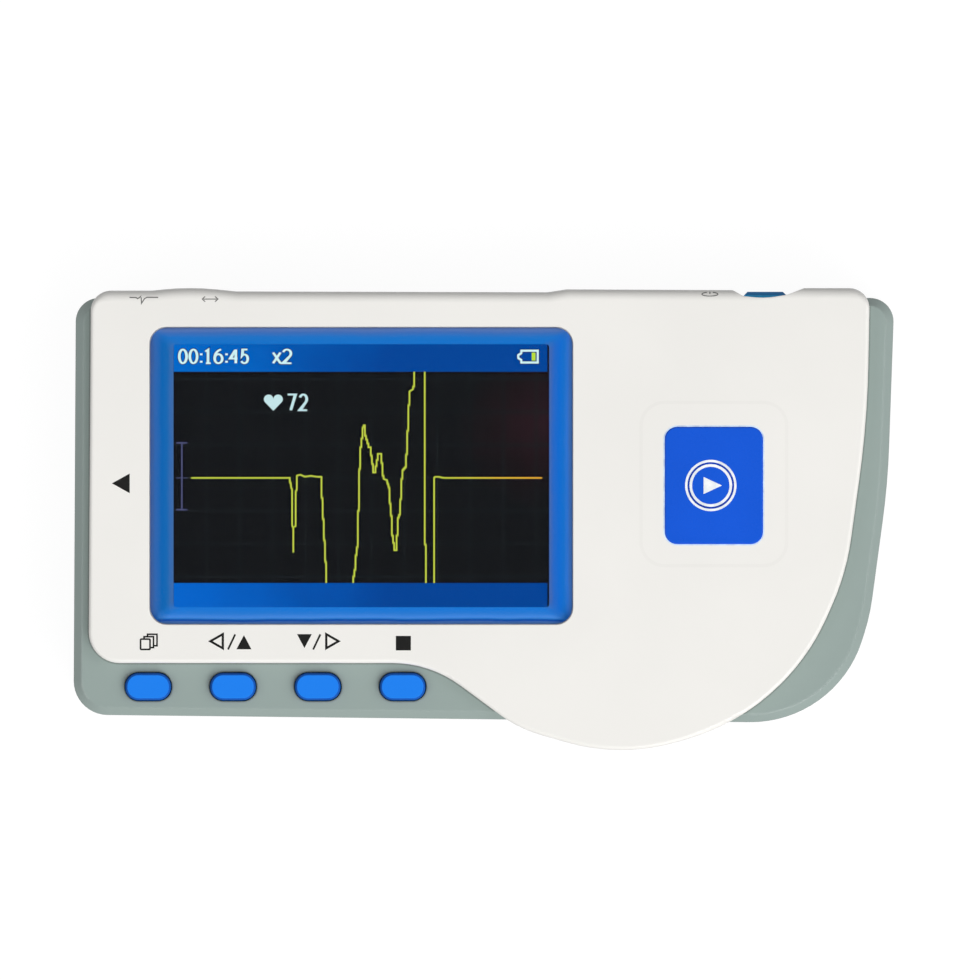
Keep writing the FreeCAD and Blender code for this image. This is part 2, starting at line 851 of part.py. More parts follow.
def make_fascia():
    """White front cover: a plate that wraps down over the socket side and the belly."""
    solid = extrude("fascia_solid", fascia_outline, parting_height, fascia_top)
    rounded = round_fascia(solid)
    room = extrude("fascia_room", housing_around, parting_height, deck_height)
    hollow = extrude("fascia_hollow", fascia_inside, parting_height, deck_under)
    gap = 2 * dim.lens_clearance
    lens_seat = rectangle(
        screen_x, dim.screen_y, dim.lens_length + gap, dim.lens_width + gap, dim.lens_radius
    )
    inset = dim.glass_margin
    view = rectangle(screen_x, dim.screen_y, glass_length - inset, glass_width - inset)
    openings = [
        room,
        hollow,
        prism("fascia_lens_seat", lens_seat, ledge_top, fascia_top),
        prism("fascia_view", view, deck_height, ledge_top),
        key_opening(
            "fascia_measure_hole", dim.measure_x, dim.measure_y, dim.measure_length, dim.measure_width,
            dim.measure_radius, dim.measure_clearance, deck_height, fascia_top,
        ),
        scallop("fascia_scallop", parting_height, fascia_top),
        power_opening("fascia_power_hole", housing_top, housing_top + dim.wrap_right + beyond),
    ]
    openings += socket_openings("fascia", housing_top, housing_top + dim.wrap_left + beyond)
    node("fascia", cut("fascia_cover", rounded, *openings))


def case_solid(name):
    """The whole lower half: the housing and the fascia's overhang, each bevelled at its back."""
    bottom = sized(0)
    halves = []
    for part, seam in (("housing", housing_seam), ("overhang", overhang_seam)):
        solid = extrude(f"{name}_{part}_solid", seam, bottom, parting_height)
        halves.append(dress_solid(
            "Chamfer", f"{name}_{part}", solid, dim.back_bevel, lambda middle, box: flat_at(box, bottom)
        ))
    return fuse(name, *halves)


def case_hollow(name, bottom):
    """The room inside the walls of the lower half."""
    return fuse(
        name,
        extrude(name + "_housing", housing_inside, bottom, parting_height),
        extrude(name + "_belly", fascia_inside, bottom, parting_height),
    )


def make_back_shell():
    """Grey lower half: a tray with the battery bay standing in it and a sunk seat for the door."""
    outer = case_solid("back_outer")
    hollow = case_hollow("back_hollow", dim.wall)
    tray = cut("back_tray", outer, hollow)
    far = -dim.housing_bottom - dim.belly_drop
    rim = dim.bay_wall
    top = parting_height
    floor = block("bay_floor", door_left - rim, door_right + rim, far, door_end + rim, 0, bay_floor)
    left_rib = block("bay_left_rib", door_left - rim, door_left, far, bay_lower - rim, 0, top)
    right_rib = block("bay_right_rib", door_right, door_right + rim, far, bay_lower - rim, 0, top)
    frame = common("bay_frame", outer, fuse("bay_frame_blocks", floor, left_rib, right_rib))
    tub = block(
        "bay_tub", bay_left - rim, bay_right + rim, bay_lower - rim, bay_upper + rim,
        door_seat, board_bottom,
    )
    bosses = [
        prism_post(f"back_boss_{number}", x, y, dim.wall / 2, parting_height, dim.boss_radius)
        for number, (x, y) in enumerate(screw_places)
    ]
    scallop_wall = block(
        "scallop_wall", dim.power_x - scallop_half - dim.scallop_left_run,
        dim.power_x + scallop_half + dim.scallop_right_run,
        scallop_low - dim.wall, scallop_low, dim.wall / 2, parting_height,
    )
    body = fuse("back_body", tray, frame, tub, scallop_wall, *bosses)
    tongue = dim.door_tongue + dim.door_seat_gap
    openings = [
        block("bay_room", bay_left, bay_right, bay_lower, bay_upper, 0, bay_ceiling),
        block("door_room", door_left, door_right, far, door_end, 0, door_seat),
        block("door_wall_room", door_left, door_right, far, bay_lower - rim, 0, parting_height),
        block(
            "door_groove", door_left - tongue, door_right + tongue, far, door_end + tongue,
            dim.door_thickness - dim.door_tongue_thickness - dim.door_seat_gap, door_seat,
        ),
        scallop("back_scallop", 0, parting_height),
    ]
    for number, (x, y) in enumerate(screw_places):
        openings.append(prism_post(f"back_bore_{number}", x, y, 0, parting_height, dim.screw_radius))
        openings.append(prism_post(
            f"back_sink_{number}", x, y, 0, dim.screw_recess + dim.screw_head_height,
            dim.screw_head_radius + dim.plate_gap, SCREW_SIDES,
        ))
    for name, (x, y) in zip(("index", "middle"), finger_places):
        gap = 2 * dim.plate_gap
        seat = rectangle(x, y, dim.finger_length + gap, dim.finger_width + gap, dim.finger_radius)
        openings.append(prism(f"{name}_seat", seat, 0, dim.plate_inset + dim.plate_thickness))
        half = dim.leaf_width / 2 + dim.leaf_gap
        openings.append(block(f"{name}_leaf_hole", x - half, x + half, y - half, y + half, 0, dim.wall))
    node("back_shell", cut("back_shell_solid", body, *openings))


def make_battery_door():
    """Sliding cover: a plate with side tongues that ends in the lower side wall of the case."""
    gap = dim.door_clearance
    far = -dim.housing_bottom - dim.belly_drop
    outer = case_solid("door_outer")
    hollow = case_hollow("door_hollow", dim.door_thickness)
    plate = block(
        "door_plate", door_left + gap, door_right - gap, far, door_end - gap, 0, dim.door_thickness
    )
    wall = block(
        "door_wall", door_left + gap, door_right - gap, far, bay_lower - dim.bay_wall - gap,
        0, parting_height - dim.door_seat_gap,
    )
    shape = common("door_shape", outer, fuse("door_blocks", plate, wall))
    cover = cut("door_cover", shape, hollow)
    tongue = block(
        "door_tongues", door_left - dim.door_tongue, door_right + dim.door_tongue, bay_lower,
        door_end + dim.door_tongue, dim.door_thickness - dim.door_tongue_thickness, dim.door_thickness,
    )
    body = fuse("door_body", cover, tongue)
    ridges = []
    for number in range(DOOR_RIDGES):
        lower = bay_lower + (number + 1) * dim.door_ridge_pitch
        half = dim.door_ridge_length / 2
        ridges.append(block(
            f"door_ridge_{number}", dim.bay_centre - half, dim.bay_centre + half,
            lower, lower + dim.door_ridge_width, 0, dim.door_ridge_depth,
        ))
    node("battery_door", cut("battery_door_solid", body, *ridges))


# --- window and screen ---------------------------------------------------------------------------

def centred_frame(piece, length, width, opening_length, opening_width, bottom, top, radius=None):
    piece.pad("frame", rectangle(screen_x, dim.screen_y, length, width, radius), bottom, top)
    opening = rectangle(screen_x, dim.screen_y, opening_length, opening_width)
    piece.pocket("opening", opening, top, top - bottom)


def make_window():
    lens = Piece("window_lens")
    corners = rectangle(screen_x, dim.screen_y, dim.lens_length, dim.lens_width, dim.lens_radius)
    lens.pad("plate", corners, lens_bottom, fascia_top + dim.lens_rise)
    lens_top = fascia_top + dim.lens_rise
    lens.dress("Chamfer", "bevel", dim.lens_bevel, lambda middle, box: flat_at(box, lens_top))
    mask = Piece("window_mask")
    centred_frame(
        mask, dim.lens_length, dim.lens_width, view_length, view_width,
        ledge_top, lens_bottom, dim.lens_radius,
    )


def make_screen():
    gasket = Piece("lcd_gasket")
    centred_frame(
        gasket, glass_length, glass_width, glass_length - dim.glass_margin, glass_width - dim.glass_margin,
        glass_top, deck_height,
    )
    glass = Piece("lcd_glass")
    corners = rectangle(screen_x, dim.screen_y, glass_length, glass_width)
    glass.pad("plate", corners, glass_bottom, glass_top)
    backlight = Piece("lcd_backlight")
    corners = rectangle(screen_x, dim.screen_y, backlight_length, backlight_width)
    backlight.pad("plate", corners, board_top, glass_bottom)


def make_screen_flex():
    """A bent strip from the glass over the backlight's side down to the board."""
    flex = Piece("lcd_flex")
    start = screen_x + glass_length / 2
    side = screen_x + backlight_length / 2
    end = side + dim.flex_landing
    thin = dim.flex_thickness
    points = [
        (start, glass_bottom, None),
        (side, glass_bottom, None),
        (side, board_top, None),
        (end, board_top, None),
        (end, board_top + thin, None),
        (side + thin, board_top + thin, None),
        (side + thin, glass_bottom + thin, None),
        (start, glass_bottom + thin, None),
    ]
    profile = draw_outline(flex.sketch("strip", plane="XZ_Plane"), points)
    feature = flex.body.newObject("PartDesign::Pad", "lcd_flex_strip")
    feature.Profile = profile
    feature.Midplane = True
    bind(feature, Length=dim.flex_width)
    flex.move(0, dim.screen_y, 0)


# --- circuit board -------------------------------------------------------------------------------

def make_board():
    """The board follows the housing and leaves room for the case screws and the power key."""
    outline = offset("board_outline", housing_outline, -dim.wall - dim.board_gap)
    solid = extrude("board_solid", outline, board_bottom, board_top)
    room = dim.boss_radius + dim.boss_clearance
    upper_left, lower_left, (corner_x, corner_y), (inner_x, inner_y) = screw_places
    left, right, top = -dim.housing_left, dim.housing_right, housing_top
    holes = [
        block(f"board_{side}_notch", left, x + room, y - room, y + room, board_bottom, board_top)
        for side, (x, y) in (("upper", upper_left), ("lower", lower_left))
    ]
    holes.append(block(
        "board_corner_notch", corner_x - room, right, corner_y - room, top, board_bottom, board_top
    ))
    holes.append(prism_post("board_boss_hole", inner_x, inner_y, board_bottom, board_top, room))
    screw_room = dim.screw_radius + dim.plate_gap
    holes += [
        prism_post(f"board_screw_hole_{number}", x, y, board_bottom, board_top, screw_room)
        for number, (x, y) in enumerate(board_screw_places)
    ]
    half = scallop_half + dim.board_gap
    holes.append(block(
        "board_power_notch", dim.power_x - half, dim.power_x + half,
        power_switch_front(), housing_top, board_bottom, board_top,
    ))
    node("main_board", cut("main_board_solid", solid, *holes))


def power_switch_front():
    flange_back = housing_top - dim.wall - dim.key_clearance - dim.key_flange_thickness
    return flange_back - dim.key_travel - dim.key_rest_gap


def make_switches():
    switches = Piece("menu_switches")
    profile = switches.sketch("domes", height=board_top)
    for x, y in key_places:
        draw_outline(profile, rectangle(x, y, dim.switch_size, dim.dome_width))
    feature = switches.body.newObject("PartDesign::Pad", "menu_switches_domes")
    feature.Profile = profile
    feature.AllowMultiFace = True
    bind(feature, Length=dim.switch_height)
    mat = Piece("keypad_mat")
    middle = first_key_x + 1.5 * dim.key_pitch
    length = 3 * dim.key_pitch + dim.key_length + 2 * dim.key_flange
    sheet = rectangle(middle, key_row_y, length, dim.key_width)
    mat.pad("sheet", sheet, switch_top, mat_top)
    measure = Piece("measure_switch")
    corners = rectangle(dim.measure_x, dim.measure_y, dim.side_switch_length, dim.side_switch_length)
    measure.pad("body", corners, board_top, switch_top)
    power = Piece("power_switch")
    front = power_switch_front()
    corners = rectangle(
        dim.power_x, front - dim.power_switch_depth / 2, dim.side_switch_length, dim.power_switch_depth
    )
    power.pad("body", corners, board_top, power_level + dim.power_height / 2)


def make_chips():
    """Parts on the lower face of the board, clear of the battery bay and the sockets."""
    can = rectangle(dim.shield_x, dim.shield_y, dim.shield_length, dim.shield_width)
    Piece("input_shield").pad("can", can, board_bottom - dim.shield_height, board_bottom)
    package = rectangle(dim.chip_x, dim.processor_y, dim.processor_size, dim.processor_size)
    Piece("processor").pad("package", package, board_bottom - dim.processor_height, board_bottom)
    package = rectangle(dim.chip_x, dim.memory_y, dim.processor_size, dim.memory_width)
    Piece("memory_chip").pad("package", package, board_bottom - dim.memory_height, board_bottom)
    place = [(dim.buzzer_x, dim.buzzer_y)]
    Piece("buzzer").pad_circles(
        "can", place, dim.buzzer_radius, board_bottom - dim.buzzer_height, board_bottom
    )


# --- keys ----------------------------------------------------------------------------------------

def make_menu_keys():
    for name, (x, y) in zip(("menu_key", "left_key", "right_key", "stop_key"), key_places):
        key = Piece(name)
        rim = 2 * dim.key_flange
        flange = rectangle(x, y, dim.key_length + rim, dim.key_width + rim)
        key.pad("flange", flange, key_bottom, key_flange_bottom + dim.key_flange_thickness)
        cap = rectangle(x, y, dim.key_length, dim.key_width, dim.key_corner_share * dim.key_width)
        cap_top = deck_height + dim.key_rise
        key.pad("cap", cap, key_bottom, cap_top)
        key.dress("Chamfer", "rim", dim.key_bevel, lambda middle, box: flat_at(box, cap_top))


def make_measure_key():
    key = Piece("measure_key")
    x, y = dim.measure_x, dim.measure_y
    rim = 2 * dim.key_flange
    flange = rectangle(x, y, dim.measure_length + rim, dim.measure_width + rim)
    key.pad("flange", flange, key_flange_bottom, key_flange_bottom + dim.key_flange_thickness)
    cap = rectangle(x, y, dim.measure_length, dim.measure_width, dim.measure_radius)
    key.pad("cap", cap, key_flange_bottom, fascia_top)
    stem = rectangle(x, y, dim.stem_size, dim.stem_size)
    key.pad("stem", stem, measure_stem_bottom, key_flange_bottom)
    seat = rectangle(x, y - dim.inlay_drop, dim.inlay_length, dim.inlay_width, dim.inlay_radius)
    key.pocket("seat", seat, fascia_top, dim.inlay_depth)
    inlay = Piece("measure_inlay")
    inlay_top = fascia_top + dim.inlay_rise
    inlay.pad("plate", seat, fascia_top - dim.inlay_depth, inlay_top)
    inlay.dress("Chamfer", "rim", dim.inlay_rise, lambda middle, box: flat_at(box, inlay_top))


def make_power_key():
    """A bar that shows in the scallop of the socket side, with a flange inside the wall."""
    key = Piece("power_key")
    wall_inside = housing_top - dim.wall
    flange_front = wall_inside - dim.key_clearance
    flange_back = flange_front - dim.key_flange_thickness
    bar_middle = (flange_back + housing_top + dim.power_rise) / 2
    bar_depth = housing_top + dim.power_rise - flange_back
    low = power_level - dim.power_height / 2
    high = power_level + dim.power_height / 2
    key.pad("bar", rectangle(dim.power_x, bar_middle, dim.power_length, bar_depth), low, high)
    flange = rectangle(
        dim.power_x, (flange_front + flange_back) / 2,
        dim.power_length + 2 * dim.key_flange, dim.key_flange_thickness,
    )
    key.pad("flange", flange, low - dim.key_flange / 2, high + dim.key_flange / 2)
    front = housing_top + dim.power_rise
    key.dress(
        "Chamfer", "rim", dim.power_bevel,
        lambda middle, box: abs(box.YMin - front.value) < 1e-4 and abs(box.YMax - front.value) < 1e-4,
    )


# --- batteries -----------------------------------------------------------------------------------

def make_batteries():
    """Two AAA cells side by side, turned opposite ways, with plates and springs at their ends."""
    length, radius = dim.battery_length - dim.battery_button_length, dim.battery_radius
    lower_y = bay_lower + dim.bay_clearance + dim.battery_radius
    upper_y = lower_y + 2 * dim.battery_radius + dim.battery_gap
    left_face = bay_left + dim.contact_thickness
    right_face = bay_right - dim.contact_thickness
    cells = (("battery_1", upper_y, 90, right_face), ("battery_2", lower_y, -90, left_face))
    for name, y, turn, plus_end in cells:
        cell = Piece(name)
        button = dim.battery_button_radius
        cell.revolve("can", [
            (0, 0), (radius, 0), (radius, length), (button, length),
            (button, dim.battery_length), (0, dim.battery_length),
        ])
        start = plus_end - dim.battery_length if turn == 90 else plus_end + dim.battery_length
        cell.move(start, y, battery_level, Rotation(Vector(0, 1, 0), turn))
    springs = (
        ("battery_spring_1", upper_y, left_face, 90),
        ("battery_spring_2", lower_y, right_face, -90),
    )
    for name, y, x, turn in springs:
        spring = Piece(name)
        spring.pad_circles("coils", [(0, 0)], dim.battery_spring_radius, 0, dim.bay_spring_room)
        spring.move(x, y, battery_level, Rotation(Vector(0, 1, 0), turn))
    for name, left in (("contact_plates_left", bay_left), ("contact_plates_right", right_face)):
        plates = Piece(name)
        corners = rectangle(
            left + dim.contact_thickness / 2, (bay_lower + bay_upper) / 2,
            dim.contact_thickness, bay_width - 2 * dim.bay_clearance,
        )
        plates.pad("plate", corners, bay_floor, bay_ceiling - dim.bay_clearance)


# --- electrodes ----------------------------------------------------------------------------------

def make_finger_electrodes():
    for name, (x, y) in zip(("index_electrode", "middle_electrode"), finger_places):
        plate = Piece(name)
        corners = rectangle(x, y, dim.finger_length, dim.finger_width, dim.finger_radius - dim.plate_gap)
        plate.pad("plate", corners, dim.plate_inset, dim.plate_inset + dim.plate_thickness)


def make_palm_electrode():
    """A flat steel strip let into the left wall, with a tab that rests on the board."""
    plate = Piece("palm_electrode")
    outer = -dim.housing_left + dim.plate_inset + dim.side_lean - dim.plate_gap
    inner = outer + dim.plate_thickness
    corners = rectangle((outer + inner) / 2, dim.measure_y, dim.plate_thickness, dim.side_plate_length)
    half = dim.side_plate_height / 2
    plate.pad("strip", corners, side_plate_level - half, side_plate_level + half)
    end = -dim.housing_left + dim.wall + dim.board_gap + dim.side_tab_length
    tab = rectangle((outer + end) / 2, dim.measure_y, end - outer, dim.side_tab_width)
    plate.pad("tab", tab, board_top, board_top + dim.side_tab_thickness)


def make_electrode_springs():
    """Straight contact leaves from the finger plates up to the board."""
    springs = Piece("electrode_springs")
    profile = springs.sketch("leaves", height=dim.plate_inset + dim.plate_thickness)
    for x, y in finger_places:
        draw_outline(profile, rectangle(x, y, dim.leaf_width, dim.leaf_width / 2))
    feature = springs.body.newObject("PartDesign::Pad", "electrode_springs_leaves")
    feature.Profile = profile
    feature.AllowMultiFace = True
    bind(feature, Length=board_bottom - dim.plate_inset - dim.plate_thickness)


# --- sockets -------------------------------------------------------------------------------------

def make_socket(name, x, length):
    """A metal frame under the board's edge with a mouth and a tongue, open to the socket side."""
    front = housing_top + dim.wrap_left - dim.socket_recess
    back = front - dim.socket_depth
    low = board_bottom - dim.socket_height
    shell = block(f"{name}_shell", x - length / 2, x + length / 2, back, front, low, board_bottom)
    wall = dim.socket_wall
    mouth = block(
        f"{name}_mouth", x - length / 2 + wall, x + length / 2 - wall,
        front - dim.socket_mouth_depth, front, low + wall, board_bottom - wall,
    )
    frame = cut(f"{name}_frame", shell, mouth)
    middle = board_bottom - dim.socket_height / 2
    tongue = block(
        f"{name}_tongue", x - length / 2 + 3 * wall, x + length / 2 - 3 * wall,
        front - dim.socket_mouth_depth - wall, front - dim.tongue_setback,
        middle - dim.tongue_thickness / 2, middle + dim.tongue_thickness / 2,
    )
    node(name, fuse(f"{name}_solid", frame, tongue))


# --- screws --------------------------------------------------------------------------------------

def screw(name, x, y, head_bottom, head_top, shank_top):
    """One screw seen from the back: a flat head and a plain shank of many-sided section."""
    sections = (
        (dim.screw_head_radius, head_bottom, head_top),
        (dim.screw_radius - dim.plate_gap, head_top, shank_top),
    )
    return fuse(name, *[
        prism_post(f"{name}_{part}", x, y, bottom, top, radius, SCREW_SIDES)
        for part, (radius, bottom, top) in zip(("head", "shank"), sections)
    ])


def screw_set(label, places, head_bottom, head_top, shank_top):
    screws = [
        screw(f"{label}_{number}", x, y, head_bottom, head_top, shank_top)
        for number, (x, y) in enumerate(places)
    ]
    compound = doc.addObject("Part::Compound", label)
    compound.Links = screws
    node(label, compound)


def make_screws():
    """Four screws close the case from the back, and three hold the board to the posts of the deck."""
    head_top = dim.screw_recess + dim.screw_head_height
    screw_set("case_screws", screw_places, dim.screw_recess, head_top, parting_height + dim.screw_bite)
    head_bottom = board_bottom - dim.board_screw_head_height
    screw_set(
        "board_screws", board_screw_places, head_bottom, board_bottom, board_top + dim.board_screw_bite
    )


# --- build and write -----------------------------------------------------------------------------

def build_all():
    make_front_shell()
    make_fascia()
    make_back_shell()
    make_battery_door()
    make_window()
    make_screen()
    make_screen_flex()
    make_board()
    make_switches()
    make_chips()
    make_menu_keys()
    make_measure_key()
    make_power_key()
    make_batteries()
    make_finger_electrodes()
    make_palm_electrode()
    make_electrode_springs()
    make_socket("usb_socket", usb_x, dim.usb_length)
    make_socket("lead_socket", lead_x, dim.lead_length)
    make_screws()


def check_all():
    """Stops if any object failed to compute or any piece is not a valid solid."""
    for thing in doc.Objects:
        if "Invalid" in thing.State or "Error" in thing.State:
            raise RuntimeError(f"{thing.Name} failed: {thing.State}")
    for thing in nodes:
        if thing.Shape.isNull() or not thing.Shape.isValid() or not thing.Shape.Solids:
            raise RuntimeError(f"{thing.Label} is not a valid solid")


def write_all():
    os.makedirs("parts", exist_ok=True)
    for thing in nodes:
        thing.Shape.exportStep(f"parts/{thing.Label}.step")
        print(f"{thing.Label}: {len(thing.Shape.Solids)} solids, {thing.Shape.Volume:.1f} mm3")


build_all()
doc.recompute()
check_all()
write_all()
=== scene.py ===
import math

import bmesh
import bpy
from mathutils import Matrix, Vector
from mathutils.bvhtree import BVHTree


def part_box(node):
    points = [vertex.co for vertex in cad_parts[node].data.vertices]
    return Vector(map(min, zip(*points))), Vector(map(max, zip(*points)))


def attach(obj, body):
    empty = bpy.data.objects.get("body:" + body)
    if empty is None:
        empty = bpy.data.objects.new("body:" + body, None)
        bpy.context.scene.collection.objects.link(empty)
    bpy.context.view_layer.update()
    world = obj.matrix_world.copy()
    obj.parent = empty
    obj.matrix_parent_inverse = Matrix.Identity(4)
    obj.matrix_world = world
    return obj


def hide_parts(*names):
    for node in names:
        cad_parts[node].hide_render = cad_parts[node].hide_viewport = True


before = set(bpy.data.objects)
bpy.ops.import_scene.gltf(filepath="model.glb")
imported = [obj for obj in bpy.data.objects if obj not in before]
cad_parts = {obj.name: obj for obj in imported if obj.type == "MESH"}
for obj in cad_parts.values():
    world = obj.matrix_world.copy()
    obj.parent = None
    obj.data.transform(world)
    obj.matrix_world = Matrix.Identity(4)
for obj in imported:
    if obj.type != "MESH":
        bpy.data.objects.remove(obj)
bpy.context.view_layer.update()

# The looks of a handheld ECG monitor that lies on its back: +X right, +Y towards its sockets, +Z up
# out of its front. Lengths are millimetres, unless a comment says metres, and become metres where a
# piece is made.

MM = 0.001
CASE = "case"
MEASURE_KEY = "measure_key"

# --- layers and edges --------------------------------------------------------------------------
# Printed marks stand this far out of the surface they are printed on.
INK = 0.012
# Lit marks reach this far above the liquid crystal's glass: the bars, the navy edges, the signs.
LIT = 0.02
LIT_HALO = 0.026
LIT_OVER = 0.035
# The printed film stays this far under the window.
FILM_GAP = 0.03
# Moulded edges are a little softer than their chamfers.
SOFT_EDGE = 0.22

# --- screen ------------------------------------------------------------------------------------
# The printed border at the left and right of the screen, and above and below it.
SIDE_BORDER = 3.55
END_BORDER = 2.55
BORDER_RADIUS = 2.6
SCREEN_RADIUS = 0.45
# What the screen shows is placed in columns from its left end and rows from its top.
SCREEN_COLUMNS = 320
SCREEN_ROWS = 240
BAR_COLUMNS = 318.4
STATUS_ROWS = 25
MENU_ROW = 218
GRID_PITCH = 5.03
GRID_LINE = 0.26
SCALE_COLUMN = 7
SCALE_ROWS = (90, 151)
SCALE_HALF = 0.85
SCALE_LINE = 0.22
SCALE_BASE_LINE = 0.12
TRACE_BASE = 122
TRACE_LINE = 0.24
TRACE_STROKES = (
    ((15, 122), (99, 122), (100, 131), (101, 132), (101, 166), (102, 167), (102, 190)),
    (
        (102, 167), (104, 166), (104, 134), (105, 133), (105, 120), (108, 119), (112, 121), (117, 120),
        (122, 121), (126, 121), (130, 218),
    ),
    (
        (153, 218), (155, 200), (157, 178), (158, 126), (159, 102), (161, 78), (162, 74), (163, 74),
        (163, 80), (166, 94), (168, 94), (170, 117), (172, 117), (174, 100), (177, 100), (178, 117),
        (179, 123), (182, 124), (184, 134), (186, 168), (188, 188), (190, 188), (191, 161), (193, 153),
        (194, 130), (195, 116), (198, 111), (199, 90), (200, 68), (201, 43), (204, 41), (205, 36),
        (205, 25),
    ),
    ((214, 25), (214, 183), (215, 183), (215, 218)),
    ((222, 218), (222, 122), (223, 121), (227, 121), (229, 122), (314, 122)),
)
# A flat pen draws wider lines upwards than across: (width of upright lines, width of level lines).
DIGIT_PEN = (0.42, 0.28)
BATTERY_LINE = 0.33
HALO = 0.24

# --- printed marks -----------------------------------------------------------------------------
SYMBOL_LINE = 0.35
SLASH_LINE = 0.29
ARROW_HEIGHT = 2.15
PAGE_LINE = 0.25
FRONT_PAGE_LINE = 0.26
PALM_ARROW_TIP = -56.57
PALM_ARROW_FLAT = -53.86
PALM_ARROW_HEIGHT = 3.0
# Marks on the rounded rim follow its surface in steps no longer than this.
SKIN_STEP = 0.3
WAVE_ROW = 33.4
DATA_INSET = 1.7
POWER_MARK = (34.6, 33.9)
# The measure key's symbol sits a little left of the inlay's middle. Its two rings, and the navy
# ring painted between them as the shade of a groove, are each (radius, width).
SYMBOL_SHIFT = 0.47
SYMBOL_RINGS = ((3.74, 0.36), (3.05, 0.4))
SYMBOL_GROOVE_SHADE = (3.4, 0.3)
RING_STEPS = 96
INLAY_RADIUS = 1.9
INLAY_EDGE = 0.2
# The measure key's cap, the flange below it, and the gap that the seal film covers.
CAP_RADIUS = 3.5
CAP_FLANGE = 0.45
CAP_GAP = 0.1
SEAL_WIDTH = 0.5

# --- sockets and screws ------------------------------------------------------------------------
# Gold contacts lie on a socket's tongue, clear of its sides, between two depths behind its mouth,
# and each takes a share of their spacing.
CONTACT_MARGIN = 1.6
CONTACT_BACK = 5.5
CONTACT_FRONT = 1.4
CONTACT_SHARE = 0.45
CONTACT_THICKNESS = 0.03
TONGUE_HALF = 0.45
# Dark crosses painted on the case screws stand for the shade of their slots. Corners within HEAD_FACE
# of the lowest level are on a head's face, and heads stand further apart than HEAD_SPACING.
SLOT_HALF = 0.9
SLOT_WIDTH = 0.42
HEAD_FACE = 0.05
HEAD_SPACING = 8

# --- camera, floor and light -------------------------------------------------------------------
CAMERA_DISTANCE = 2600.0
FRAME_WIDTH = 149.4
FRAME_CENTRE = (1.07, 4.04)
SENSOR = 36.0
FLOOR_HALF = 2500.0
FLOOR_DROP = 0.2
FLOOR_WHITE = 0.93
# The world's (colour, strength) as light on things, and as what is seen behind them.
SOFT_LIGHT = ((0.97, 0.98, 1.0, 1.0), 0.32)
BACKGROUND = ((1.0, 1.0, 1.0, 1.0), 1.0)
# Square lamps: name, place and size in metres, watts.
SOFTBOXES = (
    ("key_softbox", (0.8, -1.23, 1.45), 1.5, 28.6),
    ("right_softbox", (1.3, 0.0, 1.2), 1.0, 7.6),
    ("left_softbox", (-1.15, -0.4, 1.3), 1.0, 6.0),
)


def middle(node):
    low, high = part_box(node)
    return (low + high) / (2 * MM)


def low_corner(node):
    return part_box(node)[0] / MM


def high_corner(node):
    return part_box(node)[1] / MM


# --- materials ---------------------------------------------------------------------------------

# A colour Mix node's sockets go by number, because its sockets of other kinds have the same names.
MIX_SHARE, MIX_FIRST, MIX_SECOND, MIX_RESULT = 0, 6, 7, 2


